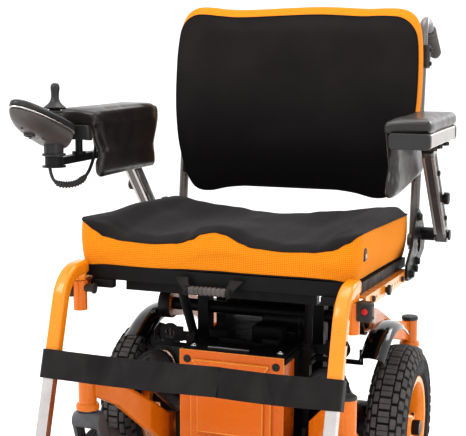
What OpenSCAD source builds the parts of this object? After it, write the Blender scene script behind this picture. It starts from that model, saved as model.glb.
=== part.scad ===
/* [Drive wheels] */
// Radius of a drive wheel over its tread blocks
wheel_r = 178; // [170:1:185]
// Distance from the middle plane to the middle of a drive tyre
wheel_x = 304.5; // [302:0.5:308]
// Width of a drive tyre
tyre_w = 85; // [80:1:88]

/* [Casters] */
// Radius of a caster wheel
caster_r = 100; // [90:1:100]
// Width of a caster wheel
caster_w = 44; // [40:1:44]
// How far a caster wheel trails behind its swivel axis
trail = 50; // [40:1:55]
// Sideways place of a front caster barrel
front_x = 276; // [274:1:280]
// Fore and aft place of a front caster barrel, ahead of the drive axle
front_y = 351; // [345:1:355]
// Sideways place of a rear caster barrel
rear_x = 257; // [255:1:260]
// Fore and aft place of a rear caster barrel, behind the drive axle
rear_y = 337; // [332:1:342]

/* [Seat] */
// Fore and aft place of the cushion's front edge, ahead of the drive axle
seat_front = 340; // [335:1:345]
// Height of the cushion's underside at its front edge
seat_z = 558; // [555:1:562]
// Rearward slope of the seat in degrees
seat_slope = 2.8; // [2:0.1:3.5]
// Width of the seat cushion
cushion_w = 576; // [560:1:578]
// Depth of the seat cushion
cushion_d = 466; // [450:1:470]
// Height of the seat cushion
cushion_h = 110; // [100:1:112]

/* [Backrest] */
// Rearward lean of the backrest in degrees
recline = 7; // [4:0.5:10]
// Width of the back cushion
back_w = 588; // [560:1:588]
// Height of the back cushion
back_h = 437; // [420:1:440]
// Thickness of the back cushion
back_t = 60; // [50:1:64]

/* [Armrests] */
// Sideways place of the outer face of an arm rail
arm_out = 400; // [398:1:404]
// Height of the arm rail's top face
arm_top = 835; // [825:1:845]
// Width of an arm rail
rail_w = 78; // [74:1:80]
// Height of an arm rail
rail_h = 28; // [24:1:30]

/* [Legrests] */
// Sideways place of a legrest
leg_x = 285; // [283:1:288]
// Fore and aft place of the legrest swivel pin, ahead of the drive axle
leg_y = 358; // [356:1:362]
// Slope of the leg tube from upright in degrees
leg_lean = 17.8; // [15:0.2:20]
// Width of the square hanger tube
hanger_w = 28; // [26:1:30]

/* [Controller] */
// Sideways place of the controller on the right arm
ctrl_x = 380; // [376:1:384]
// Fore and aft place of the joystick, ahead of the drive axle
stick_y = 279; // [276:1:282]
// Nose-up pitch of the controller deck in degrees
ctrl_pitch = 20; // [16:1:22]

/* [Hidden] */
$fn = 48;
run = 0.06;                      // radial clearance of a running fit
eps = 0.01;
lap = 2;                         // how far straight tubes run on into their slimmer bends

// Base frame
rail_in = 122;                   // inner face of a side rail
rail_out = 147;                  // outer face of a side rail
tray_z = 84;                     // underside of the tray
rail_z = 142;                    // top face of the side rails
tower_y = 90;                    // tilt axis, fore and aft
tower_z = 450;                   // tilt axis, height
tilt_pin_r = 8;
front_pivot = [-150, 175];       // front arm axis, [y, z]
rear_pivot = [-40, 420];         // rear arm axis, [y, z]
arm_pin_r = 10;
stem_r = 10;
shaft_r = 12;
axle_r = 6;
box_x = 112;                     // half width of the battery box
lid_top = 372;
motor_x = 194;
motor_lean = 33.4;               // rise of a motor towards the front, degrees
lug_y = -102;                    // tie-down lugs
lug_z = 366;
lug_x = 196;
lug_hole_r = 12;

// Casters
front_barrel = [256, 340];       // lower and upper end of a front barrel
rear_barrel = [271, 339];        // lower and upper end of a rear barrel
fork_gap = caster_w / 2 + 2;     // inner face of a fork leg
fork_t = 7;

// Seat
rail_hole_r = 4;
rail_hole_pitch = 28;
rail_hole_first = 66;
rail_holes = 12;
act_x = -70;                     // sideways place of the actuator
act_rear = [50, 420];            // rear actuator pin, [y, z]
act_front = [-140, 500];         // front actuator pin, [y, z]
act_run = act_front - act_rear;
act_len = norm(act_run);
act_rise = atan2(act_run[1], -act_run[0]);
receiver_r = 14.5;
hanger_pin_r = 10.5;
receiver_z = [468, 529];

// Backrest
back_pivot = [192, 560];         // recline axis, [y, z]
cane_x = 289;
cane_r = 11;
cane_top = 470;                  // where the push handle bend starts, along the back
handle_bend_r = 38;
handle_turn = 117;
handle_len = 128;
grip_r = 15.5;
grip_len = 108;
cushion_low = 87;                // lower edge of the back cushion, along the back
cane_front = -14;                // front of the back panel, across the back

// Armrests
arm_pivot = [182, 578];          // arm flip-up axis, [y, z]
arm_pin = 7;
arm_mid = arm_out - rail_w / 2;
arm_front = -229;
arm_rear = 58;
post_x = 356;
post_top = [-13.8, 792];           // upper end of the arm post, [y, z]

// Legrests
bend_r = 70;
run_z = 556;                     // middle height of the hanger's level run
bend_turn = 90 - leg_lean;
bend_start = 374;                // where the hanger starts to bend, ahead of the axle
slope_len = 162;                 // straight length of the sloping hanger
leg_top = 52;                    // upper end of the leg tube along the slope
leg_end = 425;                   // lower end of the leg tube along the slope
strap_top = 101;
strap_h = 56;
strap_t = 3;
strap_joint = 70;                // sideways place where the strap halves meet
plate_z = 98;                    // footplate hinge height
plate_x = 262;                   // footplate hinge, sideways

// Controller
swing_y = -300;                  // swing-away axis of the controller
swing_x = -372;
deck_z = 846;                    // deck height below the joystick
pivot_r = 2;                     // the joystick's crossed pivot pins
cable_r = 3.5;
gland_z = 779;
// The controller cable's own points: out of the gland, down, along its sag, and up to the arm rail
cable_pts = [
  [-404, -262, 779], [-404, -262, 768], [-404, -262, 756], [-404, -261, 744], [-402, -260, 732],
  [-399, -258, 722], [-394, -256, 715], [-387, -253, 711], [-378, -248, 709], [-368, -242, 709],
  [-358, -235, 711], [-350, -226, 716], [-345, -214, 724], [-343, -200, 735], [-343, -187, 748],
  [-343, -176, 763], [-343, -169, 777], [-343, -166, 790], [-343, -165, 799]];
wrap_from = 6;                   // the wrap runs between these two points of the cable
wrap_to = 12;
rail_gland = 799;                // lower face of the cable gland under the arm rail

// A rounded rectangle, centred
module rrect(w, h, r) {
  square([w - 2 * r, h], center = true);
  square([w, h - 2 * r], center = true);
  for (sx = [-1, 1]) for (sy = [-1, 1])
    translate([sx * (w / 2 - r), sy * (h / 2 - r)]) circle(r);
}
// A box between two corners, given axis by axis
module block(x0, x1, y0, y1, z0, z1) {
  translate([x0, y0, z0]) cube([x1 - x0, y1 - y0, z1 - z0]);
}
// Round rods along each axis
module rod_x(x0, x1, y, z, r) {
  translate([x0, y, z]) rotate([0, 90, 0]) cylinder(h = x1 - x0, r = r);
}
module rod_y(y0, y1, x, z, r) {
  translate([x, y1, z]) rotate([90, 0, 0]) cylinder(h = y1 - y0, r = r);
}
module rod_z(z0, z1, x, y, r) {
  translate([x, y, z0]) cylinder(h = z1 - z0, r = r);
}
// The same piece on both sides, or on the chair's right side only
module both() {
  children();
  mirror([1, 0, 0]) children();
}
module right() {
  mirror([1, 0, 0]) children();
}
// Frames of the seat, of the backrest and of a sloping leg tube
module on_seat() {
  translate([0, -seat_front, seat_z]) rotate([-seat_slope, 0, 0]) children();
}
module on_back() {
  translate([0, back_pivot[0], back_pivot[1]]) rotate([-recline, 0, 0]) children();
}
bend_y = -bend_start - bend_r * sin(bend_turn);
bend_z = run_z - bend_r + bend_r * cos(bend_turn);
module on_leg() {
  translate([leg_x, bend_y, bend_z]) rotate([180 - leg_lean, 0, 0]) children();
}

module base_frame() {
  color("#1c1c1e") {
    block(-rail_out, rail_out, -228, 228, tray_z, 92);
    both() {
      block(rail_in, rail_out, -228, 228, 92, rail_z);
      block(rail_in, rail_out, -58, -22, rail_z - eps, 446);
      difference() {
        union() {
          block(rail_in, rail_out, 60, 120, rail_z - eps, tower_z);
          rod_x(rail_in, rail_out, tower_y, tower_z, 30);
        }
        block(rail_in - 1, rail_out + 1, 40, 140, tower_z + 22, tower_z + 40);
      }
      rod_x(103, rail_in + 1, tower_y, tower_z, tilt_pin_r);
      // motor plate and front arm bracket with its pin
      block(139, rail_out, -50, 50, 130, 236);
      block(139, rail_out, -188, -112, 130, 212);
      rod_x(rail_out - 1, 190, front_pivot[0], front_pivot[1], arm_pin_r);
      rod_x(189, 193, front_pivot[0], front_pivot[1], 15);
      // pin of the rear arm, outside the cross tube
      rod_x(212, 238, rear_pivot[0], rear_pivot[1], arm_pin_r);
      rod_x(237, 240.5, rear_pivot[0], rear_pivot[1], 16);
      // post and leaning strut that the seat rests on
      block(124, 138, -134, -114, rail_z - eps, 384);
      hull() {
        rod_z(374, 384, 131, -124, 9, $fn = 32);
        rod_z(506, 517, 148, -168, 9, $fn = 32);
      }
      // tie-down lug
      block(137, 172, lug_y - 4, lug_y + 4, lug_z - 14, lug_z + 6);
      block(137, 144, -134, lug_y, lug_z - 14, lug_z + 6);
      difference() {
        union() {
          rod_y(lug_y - 4, lug_y + 4, lug_x, lug_z, 22);
          block(165, lug_x, lug_y - 4, lug_y + 4, lug_z - 16, lug_z + 16);
        }
        rod_y(lug_y - 5, lug_y + 5, lug_x, lug_z, lug_hole_r);
      }
      // fender bracket
      block(137, 245, -98, -94, 334, 344);
      block(237, 245, -98, -94, 334, 367);
      block(137, 143, -134, -94, 334, 344);
    }
    rod_x(-212.5, 212.5, rear_pivot[0], rear_pivot[1], 14);
    // cross bar with the ears of the actuator
    block(-rail_in, rail_in, 72, 96, 384, 406);
    for (x = [-92, -54]) hull() {
      rod_x(x, x + 6, act_rear[0], act_rear[1], 13, $fn = 32);
      block(x, x + 6, 72, 80, 386, 404);
    }
    rod_x(-92, -48, act_rear[0], act_rear[1], axle_r);
  }
}

module battery_box() {
  color("#222224") {
    difference() {
      block(-box_x, box_x, -226, 196, 92, 358);
      block(-box_x + 4, box_x - 4, -222, 192, 97, 359);
    }
    for (x = [-98, 98]) difference() {
      rod_y(-237, -226, x, 357 - 8, 8);
      rod_y(-238, -225, x, 357 - 8, 3.1);
    }
  }
}

module batteries() {
  color("#3a3d42")
    for (y = [-218, -12]) {
      block(-100, 100, y, y + 196, 97.5, 318);
      for (x = [-70, 70]) rod_z(318 - eps, 334, x, y + 40, 9);
    }
}

module battery_lid() {
  color("#1f1f21") {
    block(-118, 118, -236, 200, 358, lid_top - 4);
    block(-112, 112, -230, 194, lid_top - 4 - eps, lid_top);
    block(-52, 52, -158, -150, lid_top - eps, lid_top + 4);
  }
}

module front_shroud() {
  color("#f07a1c") {
    difference() {
      block(-115, 115, -240, -237, 100, lid_top);
      for (x = [-98, 98]) rod_y(-241, -236, x, 349, 3.1);
    }
    both() block(112, 115, -237 - eps, -168, 100, 356);
    // raised panels of the pressing
    translate([0, -240 + eps, 0]) rotate([90, 0, 0]) {
      linear_extrude(6) polygon([[-84, 352], [84, 352], [64, 326], [-64, 326]]);
      linear_extrude(5) polygon([[-88, 300], [88, 300], [88, 112], [-88, 112]]);
      translate([0, 0, 4]) linear_extrude(5) polygon([[-72, 284], [72, 284], [72, 200], [-72, 200]]);
      translate([0, 0, 4]) linear_extrude(5) polygon([[-72, 188], [72, 188], [72, 124], [-72, 124]]);
    }
  }
}

module shroud_screws() {
  color("#151515")
    for (x = [-98, 98]) {
      rod_y(-242.5, -240, x, 349, 6.5);
      rod_y(-240 - eps, -228, x, 349, 3.1);
    }
}

module drive_motors() {
  color("#202022")
    both() {
      rod_x(rail_out, 240, 0, wheel_r, 46);
      rod_x(239, 252, 0, wheel_r, 34);
      rod_x(251, wheel_x + 31, 0, wheel_r, shaft_r);
      rod_x(wheel_x + 30.5, wheel_x + 47, 0, wheel_r, 17);
      translate([motor_x, 0, wheel_r]) rotate([90 - motor_lean, 0, 0]) {
        cylinder(h = 212, r = 39);
        translate([0, 0, 200]) cylinder(h = 10, r = 42);
        translate([0, 0, 212 - eps]) cylinder(h = 26, r = 43);
        translate([0, 0, 238 - 2 * eps]) cylinder(h = 3, r = 36);
      }
    }
}

module fenders() {
  color("#101012")
    both() translate([0, 0, wheel_r]) rotate([0, 90, 0]) rotate([0, 0, 180 - 42])
      rotate_extrude(angle = 78) polygon([
        [204, 247], [218, 243], [226, 248], [231, 258], [232.5, 280], [231, 302], [226, 314], [216, 320],
        [215, 317], [223, 311], [227.5, 300], [229, 280], [227.5, 260], [223, 251], [217, 247], [205, 250]]);
}

module power_module() {
  color("#2a2b2e") {
    block(-88, 88, 196, 214, 120, 286);
    for (i = [0 : 12]) block(-84 + i * 13.6, -80 + i * 13.6, 214 - eps, 226, 128, 278);
  }
}

module drive_tyre() {
  h = tyre_w / 2;
  color("#2b2b2c")
    translate([wheel_x, 0, wheel_r]) rotate([0, 90, 0]) rotate_extrude($fn = 96) polygon([
      [104, -32], [113, -33], [113, -h + 4], [128, -h], [150, -h], [166, -h + 5], [175, -27],
      [wheel_r, -12], [wheel_r, 12], [175, 27], [166, h - 5], [150, h], [128, h], [113, h - 4],
      [113, 33], [104, 32]]);
}

module drive_rim() {
  color("#f58a1f")
    translate([wheel_x, 0, wheel_r]) rotate([0, 90, 0]) difference() {
      union() {
        rotate_extrude($fn = 96) polygon([
          [97, -37.5], [113, -37.5], [113, -33], [104, -32], [104, 32], [113, 33], [113, 37.5], [97, 37.5],
          [97, 29], [92, 24], [92, -24], [97, -29]]);
        translate([0, 0, -24]) cylinder(h = 53, r = 30);
        for (a = [0 : 72 : 288]) rotate([0, 0, a]) translate([0, -13, -6]) cube([93, 26, 14]);
      }
      translate([0, 0, -60]) cylinder(h = 120, r = shaft_r + run);
    }
}

module front_arm() {
  color("#f58a1f") difference() {
    union() {
      rod_z(front_barrel[0], front_barrel[1], front_x, -front_y, 19);
      rod_z(front_barrel[0], 268, front_x, -front_y, 22.5);
      hull() {
        rod_z(285, 312, 262, -front_y + 12, 13, $fn = 32);
        rod_z(256, 296, 226, -300, 13, $fn = 32);
      }
      hull() {
        rod_z(256, 296, 226, -300, 13, $fn = 32);
        rod_z(196, 252, 186, -252, 13, $fn = 32);
      }
      hull() {
        rod_z(196, 252, 186, -252, 13, $fn = 32);
        rod_z(150, 212, 170, -200, 13, $fn = 32);
      }
      hull() {
        rod_z(150, 212, 170, -200, 13, $fn = 32);
        rod_x(157, 183, front_pivot[0], front_pivot[1], 25, $fn = 32);
      }
      rod_x(149, 188, front_pivot[0], front_pivot[1], 25);
    }
    rod_z(front_barrel[0] - 1, front_barrel[1] - 8, front_x, -front_y, stem_r + run);
    rod_x(140, 195, front_pivot[0], front_pivot[1], arm_pin_r + run);
  }
}

module rear_arm() {
  color("#f58a1f") difference() {
    union() {
      rod_z(rear_barrel[0], rear_barrel[1], rear_x, rear_y, 19);
      rod_z(rear_barrel[0], 282, rear_x, rear_y, 23);
      hull() {
        rod_x(215.5, 235.5, rear_pivot[0], rear_pivot[1], 31, $fn = 32);
        rod_x(215.5, 235.5, 74, 394, 24, $fn = 32);
      }
      hull() {
        rod_x(215.5, 235.5, 74, 394, 24, $fn = 32);
        rod_x(215.5, 235.5, 226, 334, 22, $fn = 32);
      }
      hull() {
        rod_x(215.5, 235.5, 226, 334, 22, $fn = 32);
        rod_z(288, 332, rear_x - 6, rear_y - 9, 9, $fn = 32);
      }
      rod_x(213.5, 236.5, rear_pivot[0], rear_pivot[1], 18);
    }
    rod_z(rear_barrel[0] - 1, rear_barrel[1] - 7, rear_x, rear_y, stem_r + run);
    rod_x(205, 245, rear_pivot[0], rear_pivot[1], arm_pin_r + run);
  }
}

// A caster fork whose stem stands at (x, y) under a barrel that ends at z = low
module caster_fork(x, y, low) {
  out = fork_gap + fork_t;
  color("#5b5d60") {
    rod_z(low - 20, low + 60, x, y, stem_r);
    rod_z(low - 5, low - 0.4, x, y, 15);
    hull() {
      rod_z(low - 14, low - 5, x, y, 24, $fn = 32);
      rod_x(x - out, x + out, y + 3, low - 26, 17, $fn = 32);
    }
    for (side = [-1, 1]) hull() {
      rod_x(x + side * (out - fork_t / 2) - fork_t / 2, x + side * (out - fork_t / 2) + fork_t / 2,
        y + 3, low - 27, 16, $fn = 32);
      rod_x(x + side * (out - fork_t / 2) - fork_t / 2, x + side * (out - fork_t / 2) + fork_t / 2,
        y + trail, caster_r, 15, $fn = 32);
    }
    rod_x(x - out - 1, x + out + 1, y + trail, caster_r, axle_r);
    rod_x(x - out - 6, x - out + 1, y + trail, caster_r, 9.5);
    rod_x(x + out - 1, x + out + 6, y + trail, caster_r, 9.5);
  }
}

module caster_wheel(x, y) {
  h = caster_w / 2;
  color("#3c3c3e")
    translate([x, y + trail, caster_r]) rotate([0, 90, 0]) {
      rotate_extrude($fn = 72) polygon([
        [68, -h + 5], [78, -h + 1], [90, -h + 1.5], [97, -h + 7], [caster_r, -h + 14],
        [caster_r, h - 14], [97, h - 7], [90, h - 1.5], [78, h - 1], [68, h - 5]]);
      rotate_extrude($fn = 72) polygon([
        [axle_r + run, -h - 1], [17, -h - 1], [17, -h + 9], [58, -h + 12], [62, -h + 3], [68, -h + 3],
        [68, h - 3], [62, h - 3], [58, h - 12], [17, h - 9], [17, h + 1], [axle_r + run, h + 1]]);
    }
}

module seat_frame() {
  color("#1a1a1c") {
    on_seat() {
      block(-262, 262, 8, 455, -6, 0);
      block(-268, 268, 8, 30, -28, -6 + eps);
      block(-203, 203, 30 - eps, 50, -50, -30);
      block(-203, -180, 20, 50, -30 - eps, -6);
      block(180, 203, 20, 50, -30 - eps, -6);
      block(-262, 262, 425, 447, -28, -6 + eps);
      both() {
        block(262 - eps, 290, 8, 440, -22, -1);
        block(100, 125, 29, 426, -31, -6 + eps);
        block(124, 166, 160, 190, -31, -6 + eps);
      }
    }
    both() difference() {
      hull() {
        rod_x(106, 118, tower_y, tower_z, 20, $fn = 32);
        block(106, 118, 48, 112, 504, 510);
      }
      rod_x(105, 119, tower_y, tower_z, tilt_pin_r + run);
    }
    // ears of the front actuator pin
    for (x = [-92, -54]) hull() {
      rod_x(x, x + 6, act_front[0], act_front[1], 12, $fn = 32);
      block(x, x + 6, act_front[0] - 16, act_front[0] + 16, 538, 544);
    }
    rod_x(-92, -48, act_front[0], act_front[1], 5);
  }
}

module seat_rails() {
  color("#f58a1f") on_seat() both() difference() {
    block(280, 306, 2, 400, -46, -22);
    block(270, 302, -5, 410, -42, -26);
    for (i = [0 : rail_holes - 1])
      rod_x(300, 308, rail_hole_first + i * rail_hole_pitch, -34, rail_hole_r);
  }
}

module cushion() {
  color("#f5921f") on_seat()
    translate([0, cushion_d / 2, 0]) linear_extrude(cushion_h) rrect(cushion_w, cushion_d, 30);
}

module cushion_handle() {
  color("#242424") {
    rod_x(-52, 32, -seat_front - 13, 524, 8);
    for (side = [-1, 1]) hull() {
      rod_x(-10 + side * 42 - 2, -10 + side * 42 + 2, -seat_front - 13, 524, 6, $fn = 32);
      block(-10 + side * 66 - 8, -10 + side * 66 + 8, -seat_front - 5, -seat_front - 1, 553, 572);
    }
  }
}

// The arm that carries a receiver on the end of its seat rail
module receiver_arm() {
  on_seat() block(leg_x - 5, 302, seat_front - leg_y, 2, -44, -30);
}

module legrest_receivers() {
  color("#f58a1f") both() difference() {
    union() {
      rod_z(receiver_z[0], receiver_z[1], leg_x, -leg_y, receiver_r);
      receiver_arm();
    }
    rod_z(receiver_z[0] - 1, receiver_z[1] + 4, leg_x, -leg_y, hanger_pin_r + run);
  }
}

module receiver_latches() {
  color("#232326") both() difference() {
    union() {
      block(leg_x + 8, leg_x + 34, -leg_y - 9, -leg_y + 9, 500, 527);
      rod_x(leg_x + 34 - eps, leg_x + 38, -leg_y, 514, 6);
      rod_x(leg_x - 30, leg_x - 8, -leg_y, 514, 8);
      rod_x(leg_x - 34, leg_x - 30 + eps, -leg_y, 514, 11);
    }
    rod_z(490, 540, leg_x, -leg_y, receiver_r);
    receiver_arm();
  }
}

module back_brackets() {
  color("#1b1b1d") both() {
    difference() {
      translate([306.3, 0, 0]) rotate([90, 0, 90]) linear_extrude(5.7) polygon([
        [18, 504], [30, 496], [78, 492], [150, 518], [206, 540], [212, 556], [210, 580], [174, 622],
        [140, 640], [120, 640], [108, 628], [70, 566], [18, 532]]);
      rod_x(300, 320, 140, 560, 18);
    }
    for (p = [[128, 624], [112, 526], [90, 513], [50, 508]]) {
      rod_x(311, 316, p[0], p[1], 9);
      rod_x(315, 321, p[0], p[1], 6);
    }
    rod_x(276, 307, back_pivot[0], back_pivot[1], axle_r);
    rod_x(311, 340, arm_pivot[0], arm_pivot[1], 15);
    rod_x(339, 372, arm_pivot[0], arm_pivot[1], arm_pin);
    rod_x(371, 375, arm_pivot[0], arm_pivot[1], 12);
  }
}

// Frame of the actuator: along its length from the rear pin
module on_actuator() {
  translate([act_x, act_rear[0], act_rear[1]]) rotate([90 - act_rise, 0, 0]) children();
}

module actuator_body() {
  color("#27282b") difference() {
    union() {
      rod_x(act_x - 15.5, act_x + 15.5, act_rear[0], act_rear[1], 13);
      on_actuator() {
        translate([0, 0, 4]) cylinder(h = 126, r = 15);
        translate([0, 0, 126]) cylinder(h = 8, r = 17);
        translate([-17, -20, 40]) cube([34, 36, 40]);
        translate([16, 0, 60]) rotate([0, 90, 0]) cylinder(h = 150, r = 21);
        translate([166 - eps, 0, 60]) rotate([0, 90, 0]) cylinder(h = 12, r = 17);
      }
    }
    rod_x(act_x - 20, act_x + 20, act_rear[0], act_rear[1], axle_r + run);
    on_actuator() translate([0, 0, 60]) cylinder(h = 90, r = 9 + run);
  }
}

module actuator_rod() {
  color("#c8c9cc") difference() {
    union() {
      on_actuator() translate([0, 0, 66]) cylinder(h = act_len - 66, r = 9);
      rod_x(act_x - 12, act_x + 12, act_front[0], act_front[1], 15);
    }
    rod_x(act_x - 20, act_x + 20, act_front[0], act_front[1], 8);
  }
}

// The push handle's bend and straight end, starting at the top of a cane
module handle_path(r, from, length) {
  translate([cane_x, handle_bend_r, cane_top]) rotate([0, -90, 0]) rotate([0, 0, -90]) {
    children();
    rotate([0, 0, handle_turn]) translate([handle_bend_r, from, 0]) rotate([-90, 0, 0])
      cylinder(h = length, r = r);
  }
}

module back_canes() {
  color("#55575b") on_back() both() {
    difference() {
      union() {
        translate([cane_x, 0, -22]) cylinder(h = cane_top + 22 + lap, r = cane_r);
        rod_x(cane_x - 12, cane_x + 12, 0, 0, 15);
      }
      rod_x(cane_x - 20, cane_x + 20, 0, 0, axle_r + run);
    }
    handle_path(cane_r, -lap, handle_len + lap)
      rotate_extrude(angle = handle_turn) translate([handle_bend_r, 0]) circle(cane_r - 0.5);
  }
}

module push_grips() {
  color("#2c2c2e") on_back() both() difference() {
    handle_path(grip_r, handle_len - grip_len + 6, grip_len);
    handle_path(cane_r, -1, handle_len + 1);
  }
}

module back_panel() {
  color("#1d1d1f") on_back() {
    translate([0, cane_front + 3, cushion_low + back_h / 2]) rotate([90, 0, 0])
      linear_extrude(3) rrect(524, back_h - 40, 40);
    for (z = [150, 430]) block(-250, 250, cane_front + 3 - eps, 8, z - 11, z + 11);
    both() for (z = [150, 430]) difference() {
      block(249, cane_x, cane_front + 3 - eps, 8, z - 15, z + 15);
      translate([cane_x, 0, z - 20]) cylinder(h = 40, r = cane_r);
    }
  }
}

module back_cushion() {
  color("#18181a") on_back()
    translate([0, cane_front, cushion_low + back_h / 2]) rotate([90, 0, 0])
      linear_extrude(back_t) rrect(back_w, back_h, 72);
}

module arm_post() {
  d = post_top - arm_pivot;
  color("#8c8e92") difference() {
    union() {
      translate([post_x, arm_pivot[0], arm_pivot[1]]) rotate([-atan2(d[0], d[1]), 0, 0])
        linear_extrude(norm(d)) rrect(26, 36, 7);
      rod_x(post_x - 13, post_x + 13, arm_pivot[0], arm_pivot[1], 18);
      block(post_x - 16, post_x + 16, -52, 14, 790, arm_top - rail_h);
    }
    rod_x(post_x - 20, post_x + 20, arm_pivot[0], arm_pivot[1], arm_pin + run);
  }
}

module arm_rail() {
  color("#b9bbbf")
    translate([arm_mid, arm_rear, arm_top - rail_h / 2]) rotate([90, 0, 0])
      linear_extrude(arm_rear - arm_front) rrect(rail_w, rail_h, 4);
}
// The cable's gland under the right arm rail
module rail_cable_gland() {
  color("#b9bbbf") rod_z(rail_gland, arm_top - rail_h + eps, 343, -165, 6);
}

module arm_pad() {
  color("#262629") {
    translate([arm_mid - 8, arm_rear + 4, arm_top + 12.5]) rotate([90, 0, 0])
      linear_extrude(arm_rear - arm_front + 8) rrect(94, 25, 9);
    block(306, 321.7, -196, 84, 735, arm_top + 1);
    block(306, 332, -196, 84, 722, 800);
  }
}

module controller_mount() {
  color("#202124") {
    // link bar, clamp pillar under the arm rail, and the swing barrel
    block(-376, -356, swing_y + 10, -98, 756, 772);
    rod_z(771, arm_top - rail_h, -366, -200, 8);
    rod_z(771, 777, -366, -200, 15);
    difference() {
      union() {
        rod_z(752, 774, swing_x, swing_y, 19);
        rod_z(752, 755, swing_x, swing_y, 25);
      }
      rod_z(750, 790, swing_x, swing_y, 8 + run);
    }
  }
}

// Frame of the controller: origin under the joystick, y towards the rear, deck as the xy plane
module on_controller() {
  translate([-ctrl_x, -stick_y, deck_z]) rotate([-ctrl_pitch, 0, 0]) children();
}

module controller_body() {
  color("#2a2a2d") {
    difference() {
      union() {
        on_controller() {
          hull() {
            translate([0, -128, -14]) cylinder(h = 12, r = 42, $fn = 32);
            translate([0, 8, -14]) cylinder(h = 12, r = 34, $fn = 32);
            translate([0, -40, -14]) cylinder(h = 12, r = 46, $fn = 32);
          }
          hull() {
            translate([0, -122, -16]) cylinder(h = 3, r = 36, $fn = 32);
            translate([0, 10, -16]) cylinder(h = 3, r = 28, $fn = 32);
            translate([0, -60, -44]) cylinder(h = 3, r = 24, $fn = 32);
            translate([0, 30, -48]) cylinder(h = 3, r = 22, $fn = 32);
          }
        }
        rod_z(774.6, 812, swing_x, swing_y, 19);
        rod_z(774.6, 777, swing_x, swing_y, 25);
        rod_z(gland_z, 826, -404, -262, 6);
      }
      on_controller() {
        translate([0, 0, -13]) cylinder(h = 30, r = 23);
        for (x = [-16, 16]) translate([x, -62, -6]) cylinder(h = 10, r = 8.4);
      }
    }
    rod_z(753, 775, swing_x, swing_y, 8);
  }
}

module joystick_gimbal() {
  color("#3a3a3d") {
    on_controller() difference() {
      translate([0, 0, -6]) cylinder(h = 6, r = 16);
      translate([0, 0, -7]) cylinder(h = 8, r = 12);
    }
    for (x = [-21, 13]) rod_x(x - ctrl_x, x + 8 - ctrl_x, -stick_y, deck_z, pivot_r);
  }
}

module joystick_stick() {
  color("#1c1c1e") rod_y(-stick_y - 11, -stick_y + 11, -ctrl_x, deck_z, pivot_r);
  color("#1c1c1e") translate([-ctrl_x, -stick_y, deck_z]) rotate([-3, 0, 0])
    rotate_extrude() polygon([
      [0, -3], [9, -3], [9, 8], [17, 11], [17.5, 14], [13, 17], [17, 20], [17.5, 22.5], [12, 25],
      [22, 28], [22, 30.5], [12, 38], [8.5, 44], [8, 54], [9.5, 66], [8.5, 74], [4, 78], [0, 78.5]]);
}

// A push button on the controller deck, at x across it
module deck_button(x) {
  on_controller() translate([x, -62, -3]) cylinder(h = 4.5, r = 7.9);
}

module button_power() {
  color("#3f8f4a") deck_button(-16);
}

module button_horn() {
  color("#9a9aa0") deck_button(16);
}

// A tube swept along points, its rings square to the local direction, as one polyhedron
function unit(v) = v / norm(v);
function along(p, i) = unit(p[min(i + 1, len(p) - 1)] - p[max(i - 1, 0)]);
function ring(p, i, r, n) =
  let (t = along(p, i), side = unit(cross(t, [0.31, 0.9, 0.1])), up = cross(side, t))
  [for (k = [0 : n - 1]) p[i] + r * (cos(360 * k / n) * side + sin(360 * k / n) * up)];
module tube(p, r, n) {
  m = len(p);
  points = [for (i = [0 : m - 1]) each ring(p, i, r, n)];
  sides = [for (i = [0 : m - 2]) for (k = [0 : n - 1])
    let (a = i * n + k, b = i * n + (k + 1) % n) each [[a, b, b + n], [a, b + n, a + n]]];
  ends = [[for (k = [n - 1 : -1 : 0]) k], [for (k = [0 : n - 1]) (m - 1) * n + k]];
  polyhedron(points = points, faces = concat(sides, ends), convexity = 8);
}

module joystick_cable() {
  color("#19191a") tube(cable_pts, cable_r, 10);
}

module cable_wrap() {
  color("#2b2b2d") difference() {
    tube([for (i = [wrap_from : wrap_to]) cable_pts[i]], 8, 12);
    tube([for (i = [wrap_from - 1 : wrap_to + 1]) cable_pts[i]], cable_r, 10);
  }
}

module hanger() {
  w = hanger_w;
  color("#f58a1f") difference() {
    union() {
      translate([leg_x, -leg_y + 13, run_z]) rotate([90, 0, 0])
        linear_extrude(bend_start - leg_y + 13 + lap) rrect(w, w, 6);
      translate([leg_x, -bend_start, run_z - bend_r]) rotate([180, -90, 0])
        rotate_extrude(angle = bend_turn) translate([bend_r, 0]) rrect(w - 1, w - 1, 6);
      on_leg() translate([0, 0, -lap]) linear_extrude(slope_len + lap) rrect(w, w, 6);
      rod_z(receiver_z[1] + 0.4, run_z, leg_x, -leg_y, 13);
    }
    on_leg() translate([0, 0, 22]) linear_extrude(slope_len) rrect(23.8, 23.8, 3);
  }
  color("#f58a1f") rod_z(receiver_z[0] + 6, receiver_z[1] + 1, leg_x, -leg_y, hanger_pin_r);
}

module leg_tube() {
  low_y = bend_y - leg_end * sin(leg_lean);
  color("#d2d3d6") {
    on_leg() difference() {
      translate([0, 0, leg_top]) linear_extrude(leg_end - leg_top) rrect(23, 23, 3);
      translate([0, 0, leg_top - 1]) linear_extrude(leg_end - leg_top - 24) rrect(19, 19, 2);
    }
    block(plate_x - 8, leg_x + 14, low_y - 18, low_y + 12, plate_z - 12, plate_z + 14);
    rod_y(low_y - 66, low_y - 17, plate_x, plate_z, 5);
  }
}

module footplate() {
  back = bend_y - leg_end * sin(leg_lean) - 20;
  color("#2a2b2d") difference() {
    union() {
      translate([(plate_x - 14 + 62) / 2, back - 84, plate_z - 5]) linear_extrude(9)
        rrect(plate_x - 14 - 62, 168, 14);
      rod_y(back - 44, back, plate_x, plate_z, 10);
      block(plate_x - 30, plate_x, back - 44, back, plate_z - 5, plate_z + 4);
    }
    rod_y(back - 50, back + 5, plate_x, plate_z, 5 + run);
  }
}

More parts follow.
